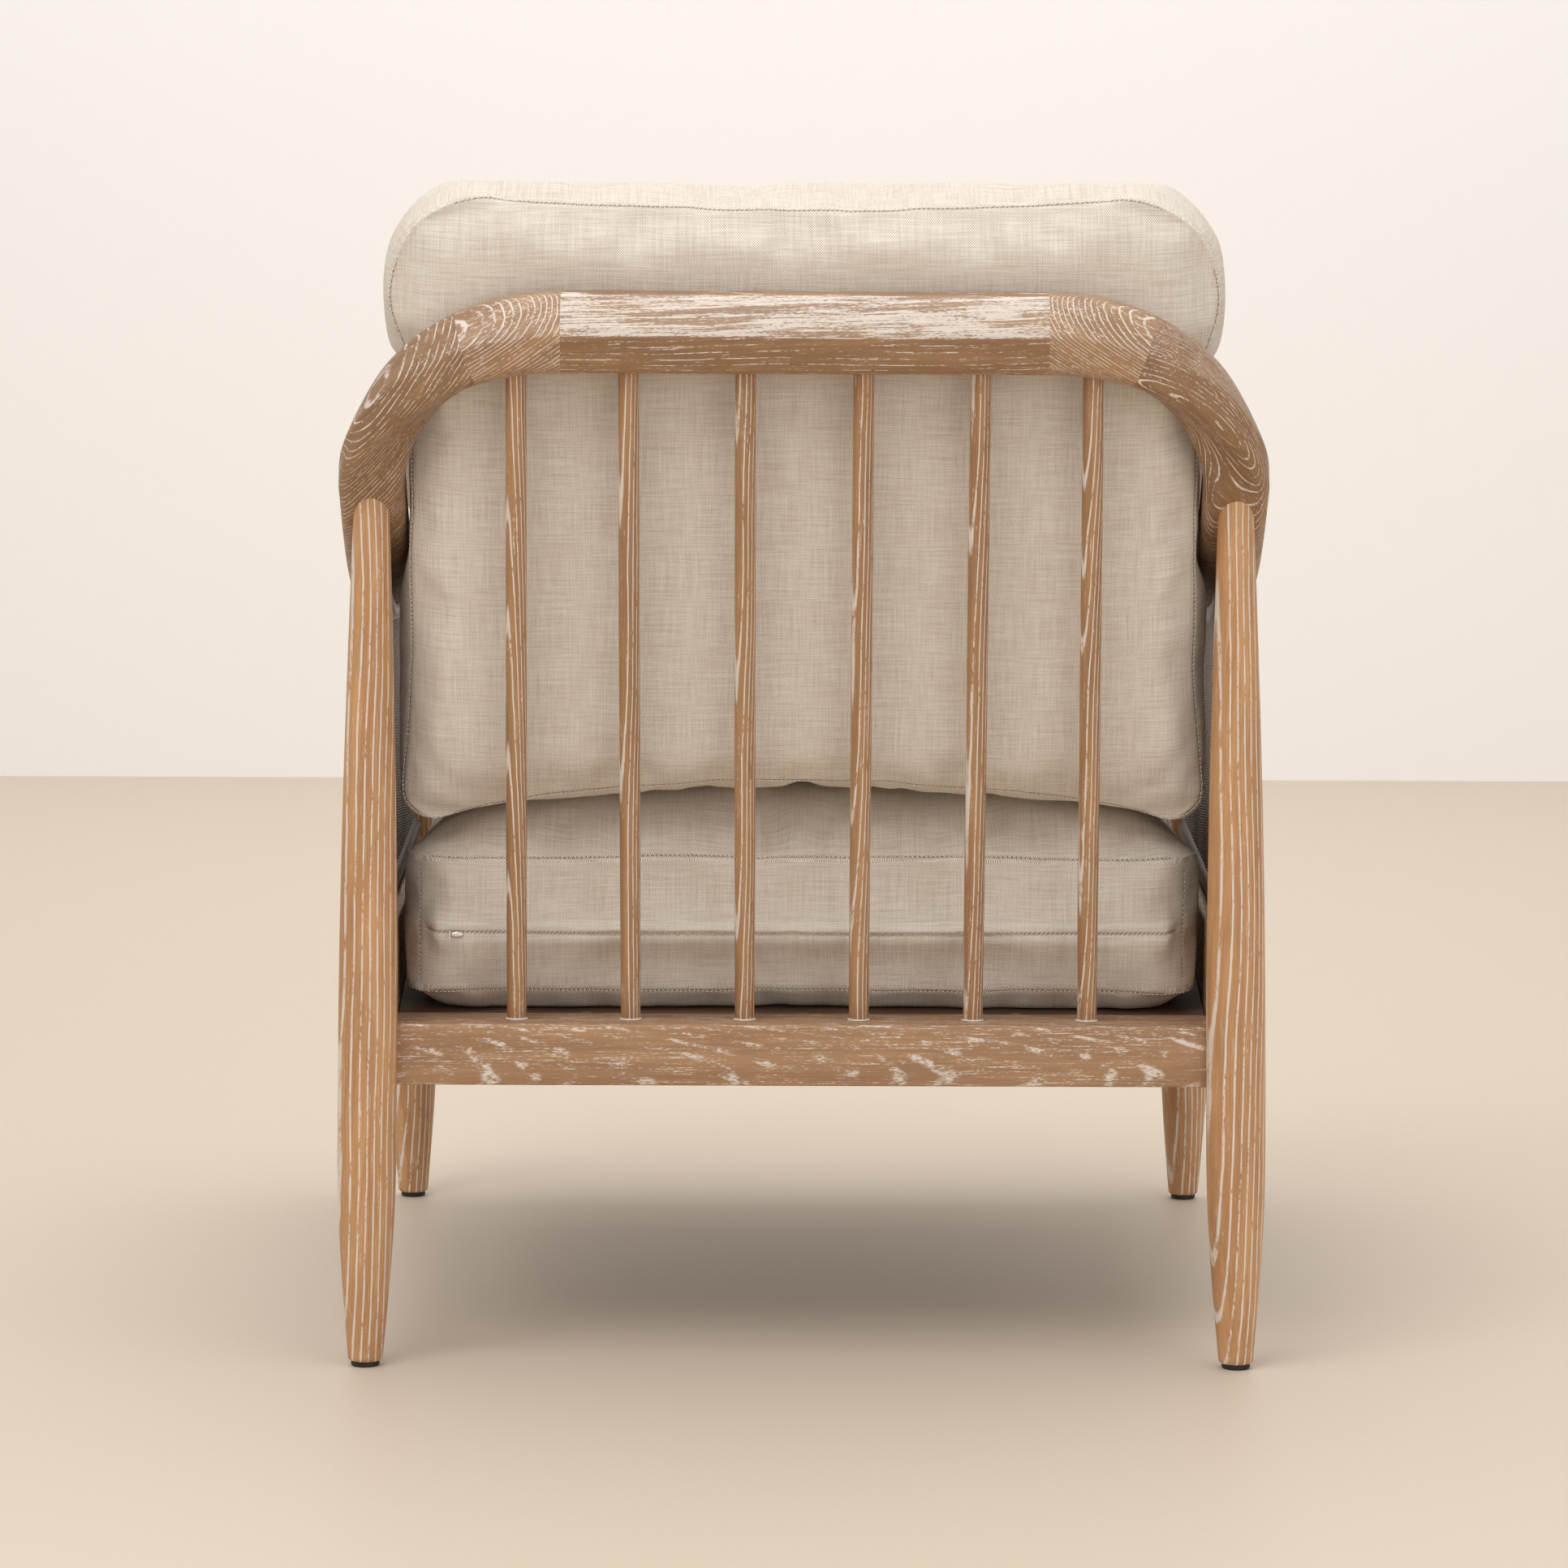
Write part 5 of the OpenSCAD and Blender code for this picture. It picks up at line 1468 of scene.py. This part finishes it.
class ARMCHAIR_OT_zip(bpy.types.Operator):
    """Zip tape, coil and slider in the seat cushion's rear band"""

    bl_idname = "armchair.zip"
    bl_label = "Zip"

    def execute(self, context):
        c = settings("cushions")
        place = tilt_frame(DECK, SEAT_TILT)
        tape_half = 0.250
        tape = look("zip_tape")
        x = np.linspace(-tape_half, tape_half, 80)
        verts, faces = [], []
        for k, px in enumerate(x):
            for py, pz in ((0.0052, -0.0028), (0.0060, -0.0028), (0.0060, 0.0028), (0.0052, 0.0028)):
                verts.append(place @ Vector((px, py, c.zip_z + pz)))
            if k:
                for j in range(4):
                    m = (j + 1) % 4
                    faces.append((4 * k - 4 + j, 4 * k - 4 + m, 4 * k + m, 4 * k + j))
        faces += [(0, 1, 2, 3), (len(verts) - 4, len(verts) - 3, len(verts) - 2, len(verts) - 1)]
        make("zip_tape_strip", verts, faces, tape, "seat_cushion", ("seat_zip_tape",), sharp=40)
        line = [place @ Vector((px, 0.0064, c.zip_z)) for px in x]
        coil = line_mesh("zip_coil", [line], {})
        grow(coil, repeat_tree(), {"Spacing": 0.0013, "Size": (0.0009, 0.0014, 0.0030), "Material": tape})
        dress(coil, None, "seat_cushion")
        low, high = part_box("seat_zip_slider")
        middle = (low.x + high.x) / 2
        metal = look("zip_metal")
        body = bmesh.new()
        bmesh.ops.create_uvsphere(body, u_segments=24, v_segments=14, radius=1)
        for v in body.verts:
            x, y, z = v.co
            v.co = Vector((x * (0.0050 - 0.0008 * x), y * 0.0014, z * (0.0022 - 0.0005 * x)))
        bridge = bmesh.ops.create_cube(body, size=1)["verts"]
        for v in bridge:
            v.co = Vector((0.0040 + v.co.x * 0.0010, 0.0006 + v.co.y * 0.0018, v.co.z * 0.0056))
        mesh = bpy.data.meshes.new("zip_slider_metal")
        body.to_mesh(mesh)
        body.free()
        obj = bpy.data.objects.new("zip_slider_metal", mesh)
        bpy.context.scene.collection.objects.link(obj)
        mesh.transform(place @ Matrix.Translation((middle, 0.0090, c.zip_z)))
        dress(obj, metal, "zip_slider", ("seat_zip_slider",), sharp=50)
        return {"FINISHED"}


# ---- Materials, hidden parts and the stage ----
class ARMCHAIR_OT_materials(bpy.types.Operator):
    """All finishes of the chair"""

    bl_idname = "armchair.materials"
    bl_label = "Materials"

    def execute(self, context):
        w, v, c = settings("wood"), settings("weave"), settings("cushions")
        oak_material("limed_oak", w)
        oak_material("plain_oak", w, filled=False)
        plywood_material("plywood")
        cord_material("brown_cord", v)
        linen_material("seat_linen", c, SEAT_TILT * -1, DECK, DECK[2] + c.zip_z)
        linen_material("back_linen", c, w.recline, BACK_FOOT)
        plain_material("thread", (0.84, 0.79, 0.72), 0.8, speck=0.1)
        plain_material("lime_filler", (0.78, 0.70, 0.61), 0.8, speck=0.2)
        plain_material("foam", (0.85, 0.80, 0.62), 0.9, speck=0.1)
        plain_material("zip_tape", (0.55, 0.46, 0.36), 0.8, speck=0.3)
        plain_material("zip_metal", c.metal, 0.35, 0.9)
        plain_material("screw_steel", (0.62, 0.61, 0.59), 0.35, 0.95)
        plain_material("glide", (0.012, 0.011, 0.010), 0.5)
        return {"FINISHED"}


class ARMCHAIR_OT_hidden(bpy.types.Operator):
    """Finishes of the parts kept as they come: blocks, cleats, board, bars, dowels, screws and glides"""

    bl_idname = "armchair.hidden"
    bl_label = "Hidden parts"

    def execute(self, context):
        bare = ("corner_block", "cleat", "weave_bar")
        finish = {
            "plain_oak": [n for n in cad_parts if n.startswith(bare) or n.endswith("dowels")],
            "plywood": ["seat_board"],
            "screw_steel": ["corner_screws", "board_screws"],
            "glide": [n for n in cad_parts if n.startswith("glide_")],
        }
        for key, nodes in finish.items():
            for n in nodes:
                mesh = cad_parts[n].data
                mesh.materials.clear()
                mesh.materials.append(look(key))
        return {"FINISHED"}


def soft_light(name, place, aim, size, power, tint=(1, 1, 1)):
    lamp = bpy.data.lights.new(name, "AREA")
    lamp.shape = "RECTANGLE"
    lamp.size, lamp.size_y = size
    lamp.energy = power
    lamp.color = tint
    obj = bpy.data.objects.new(name, lamp)
    obj.location = place
    obj.rotation_euler = (Vector(aim) - Vector(place)).to_track_quat("-Z", "Y").to_euler()
    bpy.context.scene.collection.objects.link(obj)
    return obj


class ARMCHAIR_OT_stage(bpy.types.Operator):
    """Floor, backdrop, lights and camera"""

    bl_idname = "armchair.stage"
    bl_label = "Stage"

    def execute(self, context):
        s = settings("stage")
        scene = context.scene
        plain_material("stage_floor", s.floor, 0.55, speck=0.03)
        wall_material("stage_wall", s.wall)
        for name, verts in (
            ("stage_floor", [(-20, -20, 0), (20, -20, 0), (20, 20, 0), (-20, 20, 0)]),
            ("stage_wall", [(9, -4, 0), (-9, -4, 0), (-9, -4, 6), (9, -4, 6)]),
        ):
            mesh = bpy.data.meshes.new(name)
            mesh.from_pydata(verts, [], [(0, 1, 2, 3)])
            mesh.materials.append(look(name))
            obj = bpy.data.objects.new(name, mesh)
            scene.collection.objects.link(obj)
        world = bpy.data.worlds.new("studio")
        world.use_nodes = True
        world.node_tree.nodes["Background"].inputs[0].default_value = (0.95, 0.94, 0.92, 1)
        world.node_tree.nodes["Background"].inputs[1].default_value = 0.66
        scene.world = world
        soft_light("key", (1.3, 2.3, 3.0), (0, 0.1, 0.5), (2.2, 1.6), 40, (1.0, 0.98, 0.95))
        soft_light("top", (-0.2, 0.0, 3.2), (0, 0, 0.3), (2.6, 2.6), 40, (1.0, 0.98, 0.96))
        soft_light("fill", (-1.9, 3.4, 1.0), (0, 0, 0.35), (2.0, 2.0), 16)
        soft_light("backdrop", (0, -2.2, 3.0), (0, -4, 1.4), (5.0, 0.6), 34)
        camera = bpy.data.cameras.new("camera")
        camera.lens = s.lens
        camera.sensor_width = 36
        camera.clip_start, camera.clip_end = 0.05, 40
        obj = bpy.data.objects.new("camera", camera)
        obj.location = s.camera
        aim = Vector((0, -math.cos(s.pitch), -math.sin(s.pitch)))
        turn = aim.to_track_quat("-Z", "Y") @ Quaternion((0, 0, 1), s.roll)
        obj.rotation_mode = "QUATERNION"
        obj.rotation_quaternion = turn
        scene.collection.objects.link(obj)
        scene.camera = obj
        scene.view_settings.view_transform = "Standard"
        return {"FINISHED"}


class ARMCHAIR_PT_panel(bpy.types.Panel):
    """Buttons that build the armchair's looks"""

    bl_label = "Armchair"
    bl_idname = "ARMCHAIR_PT_panel"
    bl_space_type = "VIEW_3D"
    bl_region_type = "UI"
    bl_category = "Armchair"

    def draw(self, context):
        for operator in OPERATORS:
            self.layout.operator(operator.bl_idname)


GROUPS = {
    "wood": ArmchairWood,
    "weave": ArmchairWeave,
    "cushions": ArmchairCushions,
    "stage": ArmchairStage,
}
OPERATORS = (
    ARMCHAIR_OT_materials,
    ARMCHAIR_OT_bow,
    ARMCHAIR_OT_legs,
    ARMCHAIR_OT_rails,
    ARMCHAIR_OT_spindles,
    ARMCHAIR_OT_weave,
    ARMCHAIR_OT_hidden,
    ARMCHAIR_OT_seat_cushion,
    ARMCHAIR_OT_back_cushion,
    ARMCHAIR_OT_stitches,
    ARMCHAIR_OT_zip,
    ARMCHAIR_OT_stage,
)


def register():
    for name, group in GROUPS.items():
        bpy.utils.register_class(group)
        setattr(bpy.types.Scene, "armchair_" + name, bpy.props.PointerProperty(type=group))
    for operator in OPERATORS:
        bpy.utils.register_class(operator)
    bpy.utils.register_class(ARMCHAIR_PT_panel)


def unregister():
    bpy.utils.unregister_class(ARMCHAIR_PT_panel)
    for operator in reversed(OPERATORS):
        bpy.utils.unregister_class(operator)
    for name, group in GROUPS.items():
        delattr(bpy.types.Scene, "armchair_" + name)
        bpy.utils.unregister_class(group)


def main():
    register()
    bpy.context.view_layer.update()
    for operator in OPERATORS:
        family, name = operator.bl_idname.split(".")
        if getattr(getattr(bpy.ops, family), name)() != {"FINISHED"}:
            raise RuntimeError(f"{operator.bl_label} didn't finish")


if __name__ == "__main__":
    main()
